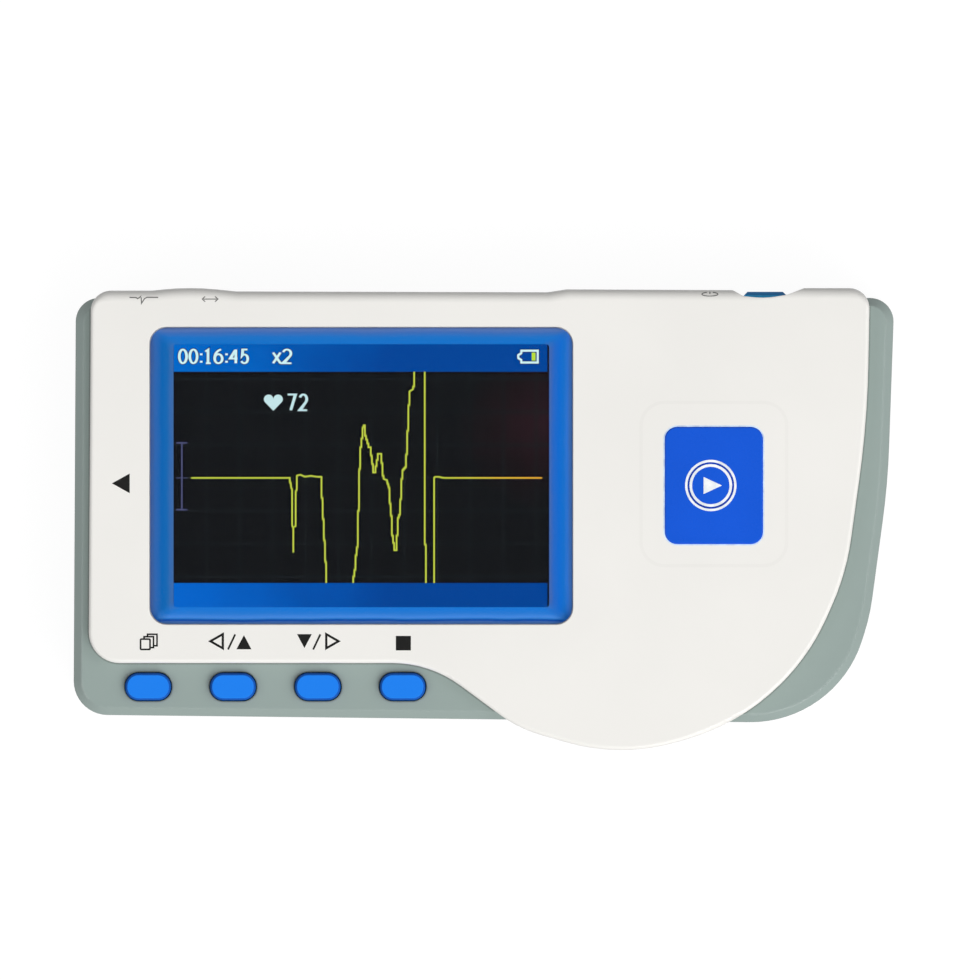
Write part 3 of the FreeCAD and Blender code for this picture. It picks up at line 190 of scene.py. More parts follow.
class Look:
    """A material with short calls for its nodes."""

    def __init__(self, name):
        self.material = bpy.data.materials.new(name)
        self.material.use_nodes = True
        self.tree = self.material.node_tree
        self.shader = self.tree.nodes["Principled BSDF"]
        self.place = self.node("ShaderNodeTexCoord").outputs["Object"]

    def node(self, kind, values=None, **settings):
        made = self.tree.nodes.new(kind)
        for key, value in settings.items():
            setattr(made, key, value)
        for key, value in (values or {}).items():
            made.inputs[key].default_value = value
        return made

    def link(self, output, target):
        self.tree.links.new(output, target)

    def fixed(self, **values):
        """Sets the shader's own sockets."""
        for key, value in values.items():
            self.shader.inputs[key.replace("_", " ")].default_value = value
        return self

    def paint(self, color):
        self.link(color, self.shader.inputs["Base Color"])
        return self

    def glow(self, color):
        """Light of its own."""
        self.link(color, self.shader.inputs["Emission Color"])
        return self.fixed(Emission_Strength=1.0)

    def noise(self, scale, detail=3.0, stretch=None):
        """Noise over the object; stretch squeezes the pattern along each axis."""
        noise = self.node("ShaderNodeTexNoise", {"Scale": scale, "Detail": detail})
        if stretch is None:
            self.link(self.place, noise.inputs["Vector"])
        else:
            mapping = self.node("ShaderNodeMapping", {"Scale": stretch})
            self.link(self.place, mapping.inputs["Vector"])
            self.link(mapping.outputs["Vector"], noise.inputs["Vector"])
        return noise.outputs["Fac"]

    def spread(self, source, low, high, start=0.3, end=0.7):
        """Maps a value that runs from start to end, by default as noise does, onto low to high."""
        spread = self.node("ShaderNodeMapRange", {
            "From Min": start, "From Max": end, "To Min": low, "To Max": high,
        })
        self.link(source, spread.inputs["Value"])
        return spread.outputs["Result"]

    def ramp(self, source, *stops):
        """Colours by position: each stop is (position, colour)."""
        ramp = self.node("ShaderNodeValToRGB")
        elements = ramp.color_ramp.elements
        while len(elements) < len(stops):
            elements.new(0.5)
        for element, (position, color) in zip(elements, stops):
            element.position = position
            element.color = (*color, 1.0)
        self.link(source, ramp.inputs["Fac"])
        return ramp.outputs["Color"]

    def math(self, operation, first, second=None):
        step = self.node("ShaderNodeMath", operation=operation)
        for index, value in enumerate((first, second)):
            if value is None:
                continue
            if isinstance(value, (int, float)):
                step.inputs[index].default_value = value
            else:
                self.link(value, step.inputs[index])
        return step.outputs["Value"]

    def choose(self, test, first, second):
        """The first colour where test is 0, and the second where it is 1."""
        mix = self.node("ShaderNodeMix", data_type="RGBA")
        for source, socket in ((test, MIX_SHARE), (first, MIX_FIRST), (second, MIX_SECOND)):
            self.link(source, mix.inputs[socket])
        return mix.outputs[MIX_RESULT]

    def axis(self, name):
        """One coordinate of the object, in metres."""
        split = self.node("ShaderNodeSeparateXYZ")
        self.link(self.place, split.inputs["Vector"])
        return split.outputs[name]

    def along(self, node):
        """0 at a node's left end and 1 at its right end."""
        low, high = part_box(node)
        return self.spread(self.axis("X"), 0.0, 1.0, low.x, high.x)

    def wavering(self, source, scale, amount):
        """A value with a little noise on it, so that what it colours has no ruled edges."""
        return self.math("ADD", source, self.spread(self.noise(scale), -amount, amount))

    def two_tone(self, scale, dark, light):
        return self.ramp(self.noise(scale), (0.35, dark), (0.65, light))

    def mottle(self, color, amount, scale):
        """A base colour that varies a little over the surface."""
        dark = tuple(channel * (1 - amount) for channel in color)
        light = tuple(min(1.0, channel * (1 + amount)) for channel in color)
        return self.paint(self.two_tone(scale, dark, light))

    def painted_gap_shade(self, reach, share):
        """Painted shade: dims the base colour, down to a share of itself, in gaps and inner corners
        within reach.
        """
        color = self.shader.inputs["Base Color"].links[0].from_socket
        inside = self.node("ShaderNodeAmbientOcclusion", {"Distance": reach * MM}, samples=8)
        shade = self.ramp(inside.outputs["AO"], (0.5, (share,) * 3), (0.85, (1.0, 1.0, 1.0)))
        dim = self.node("ShaderNodeMix", {MIX_SHARE: 1.0}, data_type="RGBA", blend_type="MULTIPLY")
        self.link(color, dim.inputs[MIX_FIRST])
        self.link(shade, dim.inputs[MIX_SECOND])
        return self.paint(dim.outputs[MIX_RESULT])

    def uneven_gloss(self, low, high, scale, stretch=None):
        rough = self.spread(self.noise(scale, 4.0, stretch), low, high)
        self.link(rough, self.shader.inputs["Roughness"])
        return self

    def relief(self, strength, depth, scale, stretch=None, soft_edge=0.0):
        """Fine relief of some depth, over edges that are rounded off by soft_edge."""
        bump = self.node("ShaderNodeBump", {"Strength": strength, "Distance": depth * MM})
        self.link(self.noise(scale, 4.0, stretch), bump.inputs["Height"])
        if soft_edge:
            bevel = self.node("ShaderNodeBevel", {"Radius": soft_edge * MM}, samples=4)
            self.link(bevel.outputs["Normal"], bump.inputs["Normal"])
        self.link(bump.outputs["Normal"], self.shader.inputs["Normal"])
        return self


def srgb(red, green, blue):
    """A colour as seen on a screen, in the linear values that shaders take."""
    def linear(channel):
        share = channel / 255
        return share / 12.92 if share <= 0.04045 else ((share + 0.055) / 1.055) ** 2.4
    return tuple(linear(channel) for channel in (red, green, blue))


def white_gloss(name, color):
    look = Look(name).mottle(color, 0.012, 45).uneven_gloss(0.16, 0.24, 240)
    return look.fixed(Specular_IOR_Level=0.28)


def white_plastic():
    look = white_gloss("white_gloss_plastic", srgb(239, 237, 232))
    return look.relief(0.04, 0.004, 1800, soft_edge=SOFT_EDGE).material


def grey_plastic():
    # the grey plastic gets painted shade in its gaps and inner corners
    look = Look("grey_gloss_plastic").mottle(srgb(144, 159, 154), 0.006, 60).painted_gap_shade(0.5, 0.35)
    look.uneven_gloss(0.2, 0.27, 300).relief(0.05, 0.003, 2600, soft_edge=2 * SOFT_EDGE)
    return look.fixed(Specular_IOR_Level=0.6).material


def up_ramp(look, *stops):
    """Colours by how far a face looks up, from 0, on its side, to 1."""
    up = look.node("ShaderNodeSeparateXYZ")
    look.link(look.node("ShaderNodeNewGeometry").outputs["Normal"], up.inputs["Vector"])
    return look.paint(look.ramp(look.wavering(up.outputs["Z"], 150, 0.03), *stops))


def key_plastic(name, color, side):
    """Coloured key with painted shade: its sides and the cap's rim are painted deeper than its top."""
    depth = 0.62
    shaded_rim = tuple(deep * depth + top * (1 - depth) for deep, top in zip(side, color))
    look = up_ramp(Look(name), (0.5, side), (0.74, shaded_rim), (0.95, color))
    look.uneven_gloss(0.28, 0.4, 500).relief(0.1, 0.01, 4000, soft_edge=SOFT_EDGE)
    return look.fixed(Specular_IOR_Level=0.1).material


def side_key_plastic():
    """The key in the top edge, seen on its narrow side: painted shade makes its chamfer navy, and its
    top is painted lighter to make up for the fascia's shadow.
    """
    look = up_ramp(Look("blue_side_key"), (0.62, srgb(14, 62, 140)), (0.9, srgb(62, 190, 255)))
    look.uneven_gloss(0.28, 0.4, 500).relief(0.1, 0.01, 4000)
    return look.fixed(Specular_IOR_Level=0.2).material


def inlay_plastic():
    look = Look("blue_inlay_plastic").mottle(srgb(20, 88, 214), 0.03, 90)
    look.uneven_gloss(0.24, 0.32, 500).relief(0.06, 0.006, 3000, soft_edge=SOFT_EDGE)
    return look.fixed(Specular_IOR_Level=0.1).material


def clear_window():
    look = Look("clear_window").mottle((0.002, 0.003, 0.006), 0.1, 40).uneven_gloss(0.03, 0.07, 90)
    return look.fixed(Alpha=0.05).material


def window_print_with_painted_light():
    """Blue border print under the window. Each side has bands of its own from the outside in, which
    hold painted light and shade: the window bevel's reflection, a dark edge line, and outer bands
    painted lighter against the fascia's shadow.
    """
    look = Look("window_border_print_and_painted_light")
    centre = middle("window_mask")
    half = high_corner("window_mask") - centre
    x, y = look.axis("X"), look.axis("Y")
    reach = []
    for place, centre_line, size, border in (
        (x, centre.x, half.x, SIDE_BORDER), (y, centre.y, half.y, END_BORDER),
    ):
        away = look.math("ABSOLUTE", look.math("SUBTRACT", place, centre_line * MM))
        inward = look.math("SUBTRACT", size * MM, away)
        reach.append(look.math("DIVIDE", inward, border * MM))
    depth = look.wavering(look.math("MINIMUM", *reach), 120, 0.03)
    left = look.ramp(
        depth, (0.0, srgb(72, 98, 158)), (0.2, srgb(54, 112, 190)), (0.5, srgb(0, 108, 194)),
        (0.7, srgb(16, 112, 194)), (0.95, srgb(66, 116, 184)),
    )
    right = look.ramp(
        depth, (0.05, srgb(85, 140, 220)), (0.2, srgb(59, 140, 246)), (0.35, srgb(22, 126, 228)),
        (0.55, srgb(0, 116, 227)), (0.8, srgb(40, 112, 212)), (0.97, srgb(72, 112, 188)),
    )
    upper = look.ramp(
        depth, (0.04, srgb(84, 108, 160)), (0.17, srgb(88, 124, 190)), (0.32, srgb(64, 116, 194)),
        (0.6, srgb(26, 124, 214)), (1.0, srgb(12, 122, 217)),
    )
    lower = look.ramp(
        depth, (0.12, srgb(96, 150, 232)), (0.17, srgb(40, 110, 222)), (0.23, srgb(12, 94, 206)),
        (0.3, srgb(44, 138, 240)), (0.37, srgb(80, 162, 254)), (0.46, srgb(74, 154, 250)),
        (0.62, srgb(44, 134, 232)), (0.84, srgb(24, 130, 231)),
    )
    beside = look.choose(look.math("LESS_THAN", x, centre.x * MM), right, left)
    across = look.choose(look.math("LESS_THAN", y, centre.y * MM), upper, lower)
    nearer = look.spread(look.math("SUBTRACT", *reach), 0.0, 1.0, -0.4, 0.4)
    look.paint(look.choose(nearer, beside, across))
    return look.fixed(Roughness=0.45, Specular_IOR_Level=0.05).material


def screen_glass():
    """The dark liquid crystal, warmer towards its upper right."""
    look = Look("screen_glass")
    warm_x, warm_y, warm_reach = 8.9, 14.0, 14.0
    offset = look.node("ShaderNodeMapping", {
        "Location": (-warm_x * MM, -warm_y * MM, 0), "Scale": (1, 1, 0),
    })
    look.link(look.place, offset.inputs["Vector"])
    distance = look.node("ShaderNodeVectorMath", operation="LENGTH")
    look.link(offset.outputs["Vector"], distance.inputs[0])
    away = look.wavering(look.math("DIVIDE", distance.outputs["Value"], warm_reach * MM), 220, 0.08)
    look.glow(look.ramp(
        away, (0.0, srgb(40, 22, 29)), (0.5, srgb(24, 16, 20)), (0.9, srgb(14, 16, 19)),
    ))
    look.fixed(Base_Color=(0.001, 0.001, 0.001, 1.0), Specular_IOR_Level=0.0)
    return look.uneven_gloss(0.3, 0.36, 400).material


def lit_bar(name, left, right):
    """A lit blue bar whose colour runs from its left end to its right end."""
    look = Look(name)
    along = look.wavering(look.along("lcd_glass"), 160, 0.05)
    look.glow(look.ramp(along, (0.0, left), (0.55, right), (1.0, right)))
    look.fixed(Base_Color=(0.0, 0.002, 0.01, 1.0), Roughness=0.4, Specular_IOR_Level=0.0)
    return look.material


def lit_mark(name, color, base=0.001):
    look = Look(name)
    dark = tuple(channel * 0.94 for channel in color)
    look.glow(look.two_tone(900, dark, color))
    look.fixed(Base_Color=(base, base, base, 1.0), Roughness=0.5, Specular_IOR_Level=0.0)
    return look.material


def lit_trace():
    """The trace turns from yellow-green to amber towards its right end."""
    look = Look("lit_trace")
    look.glow(look.ramp(
        look.wavering(look.along("lcd_glass"), 700, 0.03),
        (0.0, srgb(202, 216, 76)), (0.7, srgb(204, 218, 72)), (0.93, srgb(244, 182, 56)),
    ))
    return look.fixed(Base_Color=(0.001, 0.001, 0.0, 1.0), Specular_IOR_Level=0.0).material


def ink(name, color):
    look = Look(name).mottle(color, 0.15, 700).uneven_gloss(0.4, 0.55, 900)
    return look.relief(0.1, 0.002, 5000).fixed(Specular_IOR_Level=0.1).material


def steel(name, tone=0.62, stretch=(1, 60, 1)):
    look = Look(name).mottle((tone, tone, tone * 1.01), 0.05, 400)
    look.uneven_gloss(0.22, 0.38, 60, stretch).relief(0.15, 0.004, 60, stretch)
    return look.fixed(Metallic=1.0).material


def gold():
    look = Look("gold_plating").mottle((0.9, 0.62, 0.24), 0.04, 900).uneven_gloss(0.18, 0.3, 1200)
    return look.fixed(Metallic=1.0).material


def matte(name, color, roughness=0.6, scale=500, amount=0.08, depth=0.02):
    look = Look(name).mottle(color, amount, scale)
    look.uneven_gloss(roughness - 0.08, roughness + 0.08, scale)
    return look.relief(0.2, depth, scale * 4).material


def solder_mask():
    """Green board with faint copper runs under its mask."""
    look = Look("solder_mask")
    bricks = look.node("ShaderNodeTexBrick", {
        "Scale": 180.0, "Mortar Size": 0.03, "Color1": (0.01, 0.13, 0.05, 1),
        "Color2": (0.012, 0.16, 0.06, 1), "Mortar": (0.03, 0.26, 0.1, 1),
    })
    look.link(look.place, bricks.inputs["Vector"])
    look.paint(bricks.outputs["Color"])
    return look.uneven_gloss(0.25, 0.4, 400).relief(0.1, 0.02, 900).material


def battery_jacket():
    """Dark jacket with a metal cap at each end."""
    look = Look("battery_jacket")
    color = look.ramp(
        look.along("battery_1"), (0.0, (0.6, 0.6, 0.6)), (0.05, (0.02, 0.02, 0.025)),
        (0.7, (0.5, 0.26, 0.08)), (0.96, (0.6, 0.6, 0.6)),
    )
    worn = look.node("ShaderNodeMix", {MIX_SECOND: (0.8, 0.8, 0.8, 1.0)}, data_type="RGBA")
    look.link(look.spread(look.noise(300), 0.0, 0.06), worn.inputs[MIX_SHARE])
    look.link(color, worn.inputs[MIX_FIRST])
    look.paint(worn.outputs[MIX_RESULT])
    return look.uneven_gloss(0.25, 0.4, 500).fixed(Metallic=0.6).material


def dress_nodes():
    """Gives every carried-over node its finished material."""
    looks = (
        (white_plastic(), "fascia", "measure_key"),
        (grey_plastic(), "front_shell", "back_shell", "battery_door"),
        # the second colour is painted shade for the keys' sides and rims
        (key_plastic("blue_key_plastic", srgb(30, 128, 238), srgb(6, 52, 140)),
         "menu_key", "left_key", "right_key", "stop_key"),
        (side_key_plastic(), "power_key"),
        (inlay_plastic(), "measure_inlay"),
        (clear_window(), "window_lens"),
        (ink("mask_ink", srgb(10, 90, 190)), "window_mask"),
        (screen_glass(), "lcd_glass"),
        (matte("gasket_foam", (0.015, 0.015, 0.018), 0.85, 900, 0.2, 0.05), "lcd_gasket"),
        (matte("backlight_frame", (0.75, 0.75, 0.72), 0.45), "lcd_backlight"),
        (matte("flex_film", (0.45, 0.2, 0.03), 0.3, 300), "lcd_flex"),
        (solder_mask(), "main_board"),
        (matte("silicone_mat", (0.5, 0.5, 0.52), 0.5, 600), "keypad_mat"),
        (matte("chip_package", (0.02, 0.02, 0.022), 0.5),
         "measure_switch", "power_switch", "processor", "memory_chip", "buzzer"),
        (battery_jacket(), "battery_1", "battery_2"),
        (steel("plated_steel", 0.66, (1, 1, 1)),
         "menu_switches", "input_shield", "battery_spring_1", "battery_spring_2",
         "contact_plates_left", "contact_plates_right", "electrode_springs", "usb_socket",
         "lead_socket", "case_screws", "board_screws"),
        (steel("brushed_steel"), "index_electrode", "middle_electrode", "palm_electrode"),
    )
    for look, *names in looks:
        for name in names:
            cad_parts[name].material_slots[0].material = look


# --- flat drawings -----------------------------------------------------------------------------

def arc(centre, radii, start, end, steps=12):
    """Points along part of an ellipse; angles in degrees."""
    turns = [math.radians(start + (end - start) * step / steps) for step in range(steps + 1)]
    (x, y), (across, up) = centre, radii
    return [(x + across * math.cos(turn), y + up * math.sin(turn)) for turn in turns]


def ring(centre, radii, steps=24):
    return arc(centre, radii, 0, 360, steps)[:-1]


def box_points(left, lower, right, upper):
    return [(left, lower), (right, lower), (right, upper), (left, upper)]


def rounded_box(left, lower, right, upper, radius):
    """The outline of a rectangle with round corners."""
    points = []
    for x, y, start in (
        (right - radius, upper - radius, 0), (left + radius, upper - radius, 90),
        (left + radius, lower + radius, 180), (right - radius, lower + radius, 270),
    ):
        points += arc((x, y), (radius, radius), start, start + 90, 8)
    return points


def around(node, radius, outset=0.0):
    """A node's outline from above with round corners, moved outwards by outset."""
    low, high = low_corner(node), high_corner(node)
    return rounded_box(
        low.x - outset, low.y - outset, high.x + outset, high.y + outset, radius + outset,
    )


def triangle(tip_x, flat_x, centre_y, height):
    return [(tip_x, centre_y), (flat_x, centre_y + height / 2), (flat_x, centre_y - height / 2)]


class Drawing:
    """Flat shapes that become one thin solid piece."""

    def __init__(self):
        self.fills = []
        self.lines = []
        self.bands = []

    def fill(self, points):
        self.fills.append([Vector(point) for point in points])
        return self

    def line(self, points, width, closed=False):
        self.lines.append(([Vector(point) for point in points], width, closed))
        return self

    def outline(self, points, width):
        return self.line(points, width, closed=True)

    def band(self, outer, inner):
        """The strip between two closed lines with as many points each."""
        sides = [[Vector(point) for point in side] for side in (outer, inner)]
        self.bands.append((*sides, True))
        return self

    def cut_even(self):
        """Divides the long runs of its open lines, so that the piece can follow a curved surface."""
        for index, (points, width, closed) in enumerate(self.lines):
            fine = []
            for first, second in zip(points, points[1:]):
                count = max(1, math.ceil((second - first).length / SKIN_STEP))
                fine += [first.lerp(second, step / count) for step in range(count)]
            self.lines[index] = (fine + [points[-1]], width, closed)
        return self


def pen_widths(width):
    """A line's width (across, up); a single number draws both ways alike."""
    return width if isinstance(width, tuple) else (width, width)


def strip_sides(points, width, closed):
    """The two sides of a line, mitred at its corners."""
    across, up = pen_widths(width)
    left, right = [], []
    for index, point in enumerate(points):
        directions = []
        if closed or index > 0:
            directions.append((point - points[index - 1]).normalized())
        if closed or index < len(points) - 1:
            directions.append((points[(index + 1) % len(points)] - point).normalized())
        normals = [Vector((-way.y, way.x)) for way in directions]
        mitre = (normals[0] + normals[-1]) / (1 + normals[0].dot(normals[-1]))
        offset = Vector((mitre.x * across, mitre.y * up)) / 2
        left.append(point + offset)
        right.append(point - offset)
    return left, right


def add_wall(mesh, lower, upper, closed):
    """Faces between two rows of corners."""
    count = len(lower)
    for index in range(count if closed else count - 1):
        after = (index + 1) % count
        mesh.faces.new((lower[index], lower[after], upper[after], upper[index]))


def thin_piece(name, drawing, height, thickness, look, body):
    """Makes a drawing solid. height is a level, or a function of (x, y)."""
    level = height if callable(height) else lambda x, y: height
    mesh = bmesh.new()

    def row(points, rise):
        return [mesh.verts.new(Vector((p.x, p.y, level(p.x, p.y) + rise)) * MM) for p in points]

    for points in drawing.fills:
        lower, upper = row(points, 0), row(points, thickness)
        mesh.faces.new(lower[::-1])
        mesh.faces.new(upper)
        add_wall(mesh, lower, upper, closed=True)
    strips = [
        (*strip_sides(points, width, closed), closed) for points, width, closed in drawing.lines
    ]
    for left, right, closed in strips + drawing.bands:
        rows = [row(left, 0), row(left, thickness), row(right, thickness), row(right, 0)]
        for first, second in zip(rows, rows[1:] + rows[:1]):
            add_wall(mesh, first, second, closed)
        if not closed:
            for end in (0, -1):
                mesh.faces.new([corner_row[end] for corner_row in rows])
    bmesh.ops.recalc_face_normals(mesh, faces=mesh.faces)
    data = bpy.data.meshes.new(name)
    mesh.to_mesh(data)
    mesh.free()
    data.materials.append(look)
    piece = bpy.data.objects.new(name, data)
    bpy.context.scene.collection.objects.link(piece)
    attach(piece, body)
    return piece


def lit_piece(name, drawing, level, thickness, look):
    thin_piece(name, drawing, level, thickness, look, CASE)


def printed_piece(name, drawing, height, look):
    thin_piece(name, drawing, height, INK, look, CASE)


# --- screen content ----------------------------------------------------------------------------

# Each sign as strokes (points, closed) in a box one wide and one high.
SIGNS = {
    "0": [(ring((0.5, 0.5), (0.5, 0.5)), True)],
    "1": [([(0.0, 0.84), (0.5, 1.0), (0.5, 0.0)], False), ([(0.1, 0.0), (1.0, 0.0)], False)],
    "2": [(arc((0.5, 0.71), (0.44, 0.29), 160, -38) + [(0.06, 0.0), (1.0, 0.0)], False)],
    "4": [
        ([(0.8, 0.0), (0.8, 1.0)], False),
        ([(0.72, 0.96), (0.04, 0.34), (1.04, 0.34)], False),
    ],
    "5": [
        ([(0.9, 1.0), (0.22, 1.0), (0.16, 0.55)] + arc((0.46, 0.32), (0.5, 0.32), 118, -150), False),
    ],
    "6": [
        (ring((0.5, 0.33), (0.5, 0.33)), True),
        (arc((0.95, 0.36), (0.95, 0.64), 180, 96), False),
    ],
    "7": [([(0.0, 1.0), (1.0, 1.0), (0.4, 0.0)], False)],
    "x": [([(0.0, 0.0), (1.0, 0.78)], False), ([(0.0, 0.78), (1.0, 0.0)], False)],
    ":": [([(0.5, 0.04), (0.5, 0.18)], False), ([(0.5, 0.58), (0.5, 0.72)], False)],
}


class Screen:
    """Turns screen columns and rows into places on the liquid crystal."""

    def __init__(self):
        low, high = low_corner("window_mask"), high_corner("window_mask")
        self.left, self.right = low.x + SIDE_BORDER, high.x - SIDE_BORDER
        self.lower, self.upper = low.y + END_BORDER, high.y - END_BORDER
        self.level = high_corner("lcd_glass").z

    def x(self, column):
        return self.left + column * (self.right - self.left) / SCREEN_COLUMNS

    def y(self, row):
        return self.upper - row * (self.upper - self.lower) / SCREEN_ROWS

    def at(self, column, row):
        return (self.x(column), self.y(row))

    def write(self, signs, lower_row, upper_row):
        """Draws signs, each given as (sign, first column, last column), between two rows."""
        across, up = DIGIT_PEN
        base = self.y(lower_row) + up / 2
        height = self.y(upper_row) - self.y(lower_row) - up
        drawing = Drawing()
        for sign, first, last in signs:
            start = self.x(first) + across / 2
            width = self.x(last) - self.x(first) - across
            for points, closed in SIGNS[sign]:
                stroke = [(start + u * width, base + v * height) for u, v in points]
                drawing.line(stroke, DIGIT_PEN, closed)
        return drawing


def stepped(points):
    """A line through screen points, drawn in whole columns as the pixels show it."""
    line = [points[0]]
    for (column, row), (next_column, next_row) in zip(points, points[1:]):
        columns = abs(next_column - column)
        if columns and abs(next_row - row) > columns:
            side = 1 if next_column > column else -1
            run = (next_row - row) / (columns + 1)
            for step in range(columns):
                level = row + run * (step + 1)
                line += [(column + side * step, level), (column + side * (step + 1), level)]
        line.append((next_column, next_row))
    return line


def make_bars(screen):
    for name, first, last, left, right in (
        ("status_bar", 0, STATUS_ROWS, srgb(0, 110, 214), srgb(0, 70, 159)),
        ("menu_bar", MENU_ROW, SCREEN_ROWS, srgb(0, 106, 218), srgb(0, 68, 156)),
    ):
        bar = Drawing().fill(box_points(*screen.at(0, last), *screen.at(BAR_COLUMNS, first)))
        lit_piece(name, bar, screen.level, LIT, lit_bar(name + "_light", left, right))


def make_grid(screen):
    """Faint lines, counted from the left end and from the trace's base line."""
    grid = Drawing()
    low, high = screen.y(MENU_ROW), screen.y(STATUS_ROWS)
    x = screen.left + GRID_PITCH
    while x < screen.right:
        grid.line([(x, low), (x, high)], GRID_LINE)
        x += GRID_PITCH
    for count in range(-3, 4):
        y = screen.y(TRACE_BASE) + count * GRID_PITCH
        if low < y < high:
            grid.line([(screen.left, y), (screen.right, y)], GRID_LINE)
    look = lit_mark("grid_light", srgb(24, 29, 32), 0.003)
    lit_piece("screen_grid", grid, screen.level, LIT / 2, look)


def make_scale(screen):
    """The upright scale beside the trace, with a bar at each end and a thin one at its base line."""
    x = screen.x(SCALE_COLUMN)
    upper, lower = (screen.y(row) for row in SCALE_ROWS)
    scale = Drawing().line([(x, lower), (x, upper)], SCALE_LINE)
    for y, width in (
        (upper, SCALE_LINE), (lower, SCALE_LINE), (screen.y(TRACE_BASE), SCALE_BASE_LINE),
    ):
        scale.line([(x - SCALE_HALF, y), (x + SCALE_HALF, y)], width)
    lit_piece("scale_mark", scale, screen.level, LIT, lit_mark("scale_light", srgb(82, 86, 130)))


def make_trace(screen):
    trace = Drawing()
    for points in TRACE_STROKES:
        trace.line([screen.at(*point) for point in stepped(points)], TRACE_LINE)
    lit_piece("ecg_trace", trace, screen.level, LIT_OVER, lit_trace())


def make_status_marks(screen):
    """The clock, the gain and the battery mark in the status bar, with navy edges."""
    pale = lit_mark("text_light", srgb(216, 252, 255))
    navy = lit_mark("halo_light", srgb(0, 32, 96))
    over = screen.level + LIT_HALO

    def lit_sign(name, drawing):
        halo = Drawing()
        for points, width, closed in drawing.lines:
            across, up = pen_widths(width)
            halo.line(points, (across + HALO, up + HALO), closed)
        lit_piece(name + "_edge", halo, screen.level + LIT, LIT_HALO - LIT, navy)
        lit_piece(name, drawing, over, LIT_OVER - LIT_HALO, pale)

    lower_row, upper_row = 18.1, 3.9
    clock = (
        ("0", 3.6, 12.2), ("0", 12.6, 21.2), (":", 22.2, 24.8), ("1", 25.8, 32.8), ("6", 33.8, 42.6),
        (":", 43.8, 46.4), ("4", 46.9, 55.4), ("5", 56.4, 64.6),
    )
    lit_sign("clock_digits", screen.write(clock, lower_row, upper_row))
    gain = (("x", 83.6, 92.2), ("2", 91.6, 101.6))
    lit_sign("gain_digits", screen.write(gain, lower_row, upper_row))

    left, lower = screen.at(296.3, 16.6)
    right, upper = screen.at(310.3, 5.8)
    nub, nub_half, step = 0.46, 0.5, 0.26
    centre = (lower + upper) / 2
    battery = Drawing().outline([
        (left, lower), (right, lower), (right, upper), (left, upper), (left, centre + nub_half),
        (left - nub, centre + nub_half - step), (left - nub, centre - nub_half + step),
        (left, centre - nub_half),
    ], BATTERY_LINE)
    lit_sign("battery_mark", battery)
    inset, charge_left, charge_right = 0.3, right - 0.92, right - 0.34
    charge = Drawing().fill(box_points(charge_left, lower + inset, charge_right, upper - inset))
    charge_look = lit_mark("charge_light", srgb(196, 234, 62))
    lit_piece("battery_charge", charge, over, LIT_OVER - LIT_HALO, charge_look)


def make_pulse(screen):
    """A heart and a plain number below the status bar."""
    pulse = screen.write((("7", 96, 105), ("2", 106, 115)), 61, 45)
    x, y = screen.at(85, 52)
    lobe, lobe_rise, tip_drop, lobe_steps = 0.72, 0.3, 1.45, 14
    right_side = arc((x + lobe, y + lobe_rise), (lobe, lobe), -30, 180, lobe_steps)
    left_side = arc((x - lobe, y + lobe_rise), (lobe, lobe), 0, 210, lobe_steps)
    pulse.fill(right_side + left_side[1:] + [(x, y - tip_drop)])
    look = lit_mark("pulse_light", srgb(206, 240, 244))
    lit_piece("pulse_digits", pulse, screen.level, LIT_OVER, look)


# --- printed marks -----------------------------------------------------------------------------

def make_window_border(screen):
    """The printed film under the window, with round corners inside and out; its bands hold painted
    light and shade.
    """
    film = Drawing().band(
        around("window_mask", BORDER_RADIUS),
        rounded_box(screen.left, screen.lower, screen.right, screen.upper, SCREEN_RADIUS),
    )
    bottom, top = low_corner("window_mask").z, high_corner("window_mask").z - FILM_GAP
    look = window_print_with_painted_light()
    piece = thin_piece("window_border", film, bottom, top - bottom, look, CASE)
    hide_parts("window_mask")


def make_key_symbols():
    """Symbols over the four keys, placed from the keys' middles, and the arrow beside the window."""
    black = ink("black_ink", srgb(24, 24, 23))
    level = high_corner("fascia").z
    row = middle("menu_key").y
    arrow_row, slash_low, slash_high = row + 6.95, row + 5.68, row + 8.0

    x = middle("menu_key").x
    left, right, lower, upper = x - 1.13, x + 0.31, row + 5.7, row + 7.27
    shift, shift_up, shift_low, corner = 0.534, 0.37, 0.28, 0.12
    pages = Drawing().outline(rounded_box(left, lower, right, upper, corner), FRONT_PAGE_LINE)
    for count in (1, 2):
        edge_left, edge_right = left + count * shift, right + count * shift
        edge_top, edge_low = upper + count * shift_up, lower + count * shift_low
        pages.line([
            (edge_left, edge_top - shift_up), (edge_left, edge_top), (edge_right, edge_top),
            (edge_right, edge_low), (edge_right - shift, edge_low),
        ], PAGE_LINE)
    printed_piece("page_symbol", pages, level, black)

    x = middle("left_key").x
    arrows = Drawing().outline(triangle(x - 3.42, x - 1.53, arrow_row, ARROW_HEIGHT), SYMBOL_LINE)
    arrows.line([(x - 0.74, slash_low), (x + 0.36, slash_high)], SLASH_LINE)
    arrows.fill([(x + 0.54, row + 5.72), (x + 2.83, row + 5.72), (x + 1.69, row + 7.88)])
    printed_piece("left_up_symbol", arrows, level, black)

    x = middle("right_key").x
    arrows = Drawing().fill([(x - 3.16, row + 8.03), (x - 2.03, row + 5.9), (x - 0.91, row + 8.03)])
    arrows.line([(x - 0.7, slash_low), (x + 0.4, slash_high)], SLASH_LINE)
    arrows.outline(triangle(x + 3.17, x + 1.3, arrow_row, -ARROW_HEIGHT), SYMBOL_LINE)
    printed_piece("down_right_symbol", arrows, level, black)

    x = middle("stop_key").x
    stop = Drawing().fill(box_points(x - 1.03, row + 5.55, x + 1.26, row + 7.76))
    printed_piece("stop_symbol", stop, level, black)

    palm_row = middle("palm_electrode").y + 0.1
    arrow = triangle(PALM_ARROW_TIP, PALM_ARROW_FLAT, palm_row, PALM_ARROW_HEIGHT)
    printed_piece("palm_arrow", Drawing().fill(arrow), level, black)


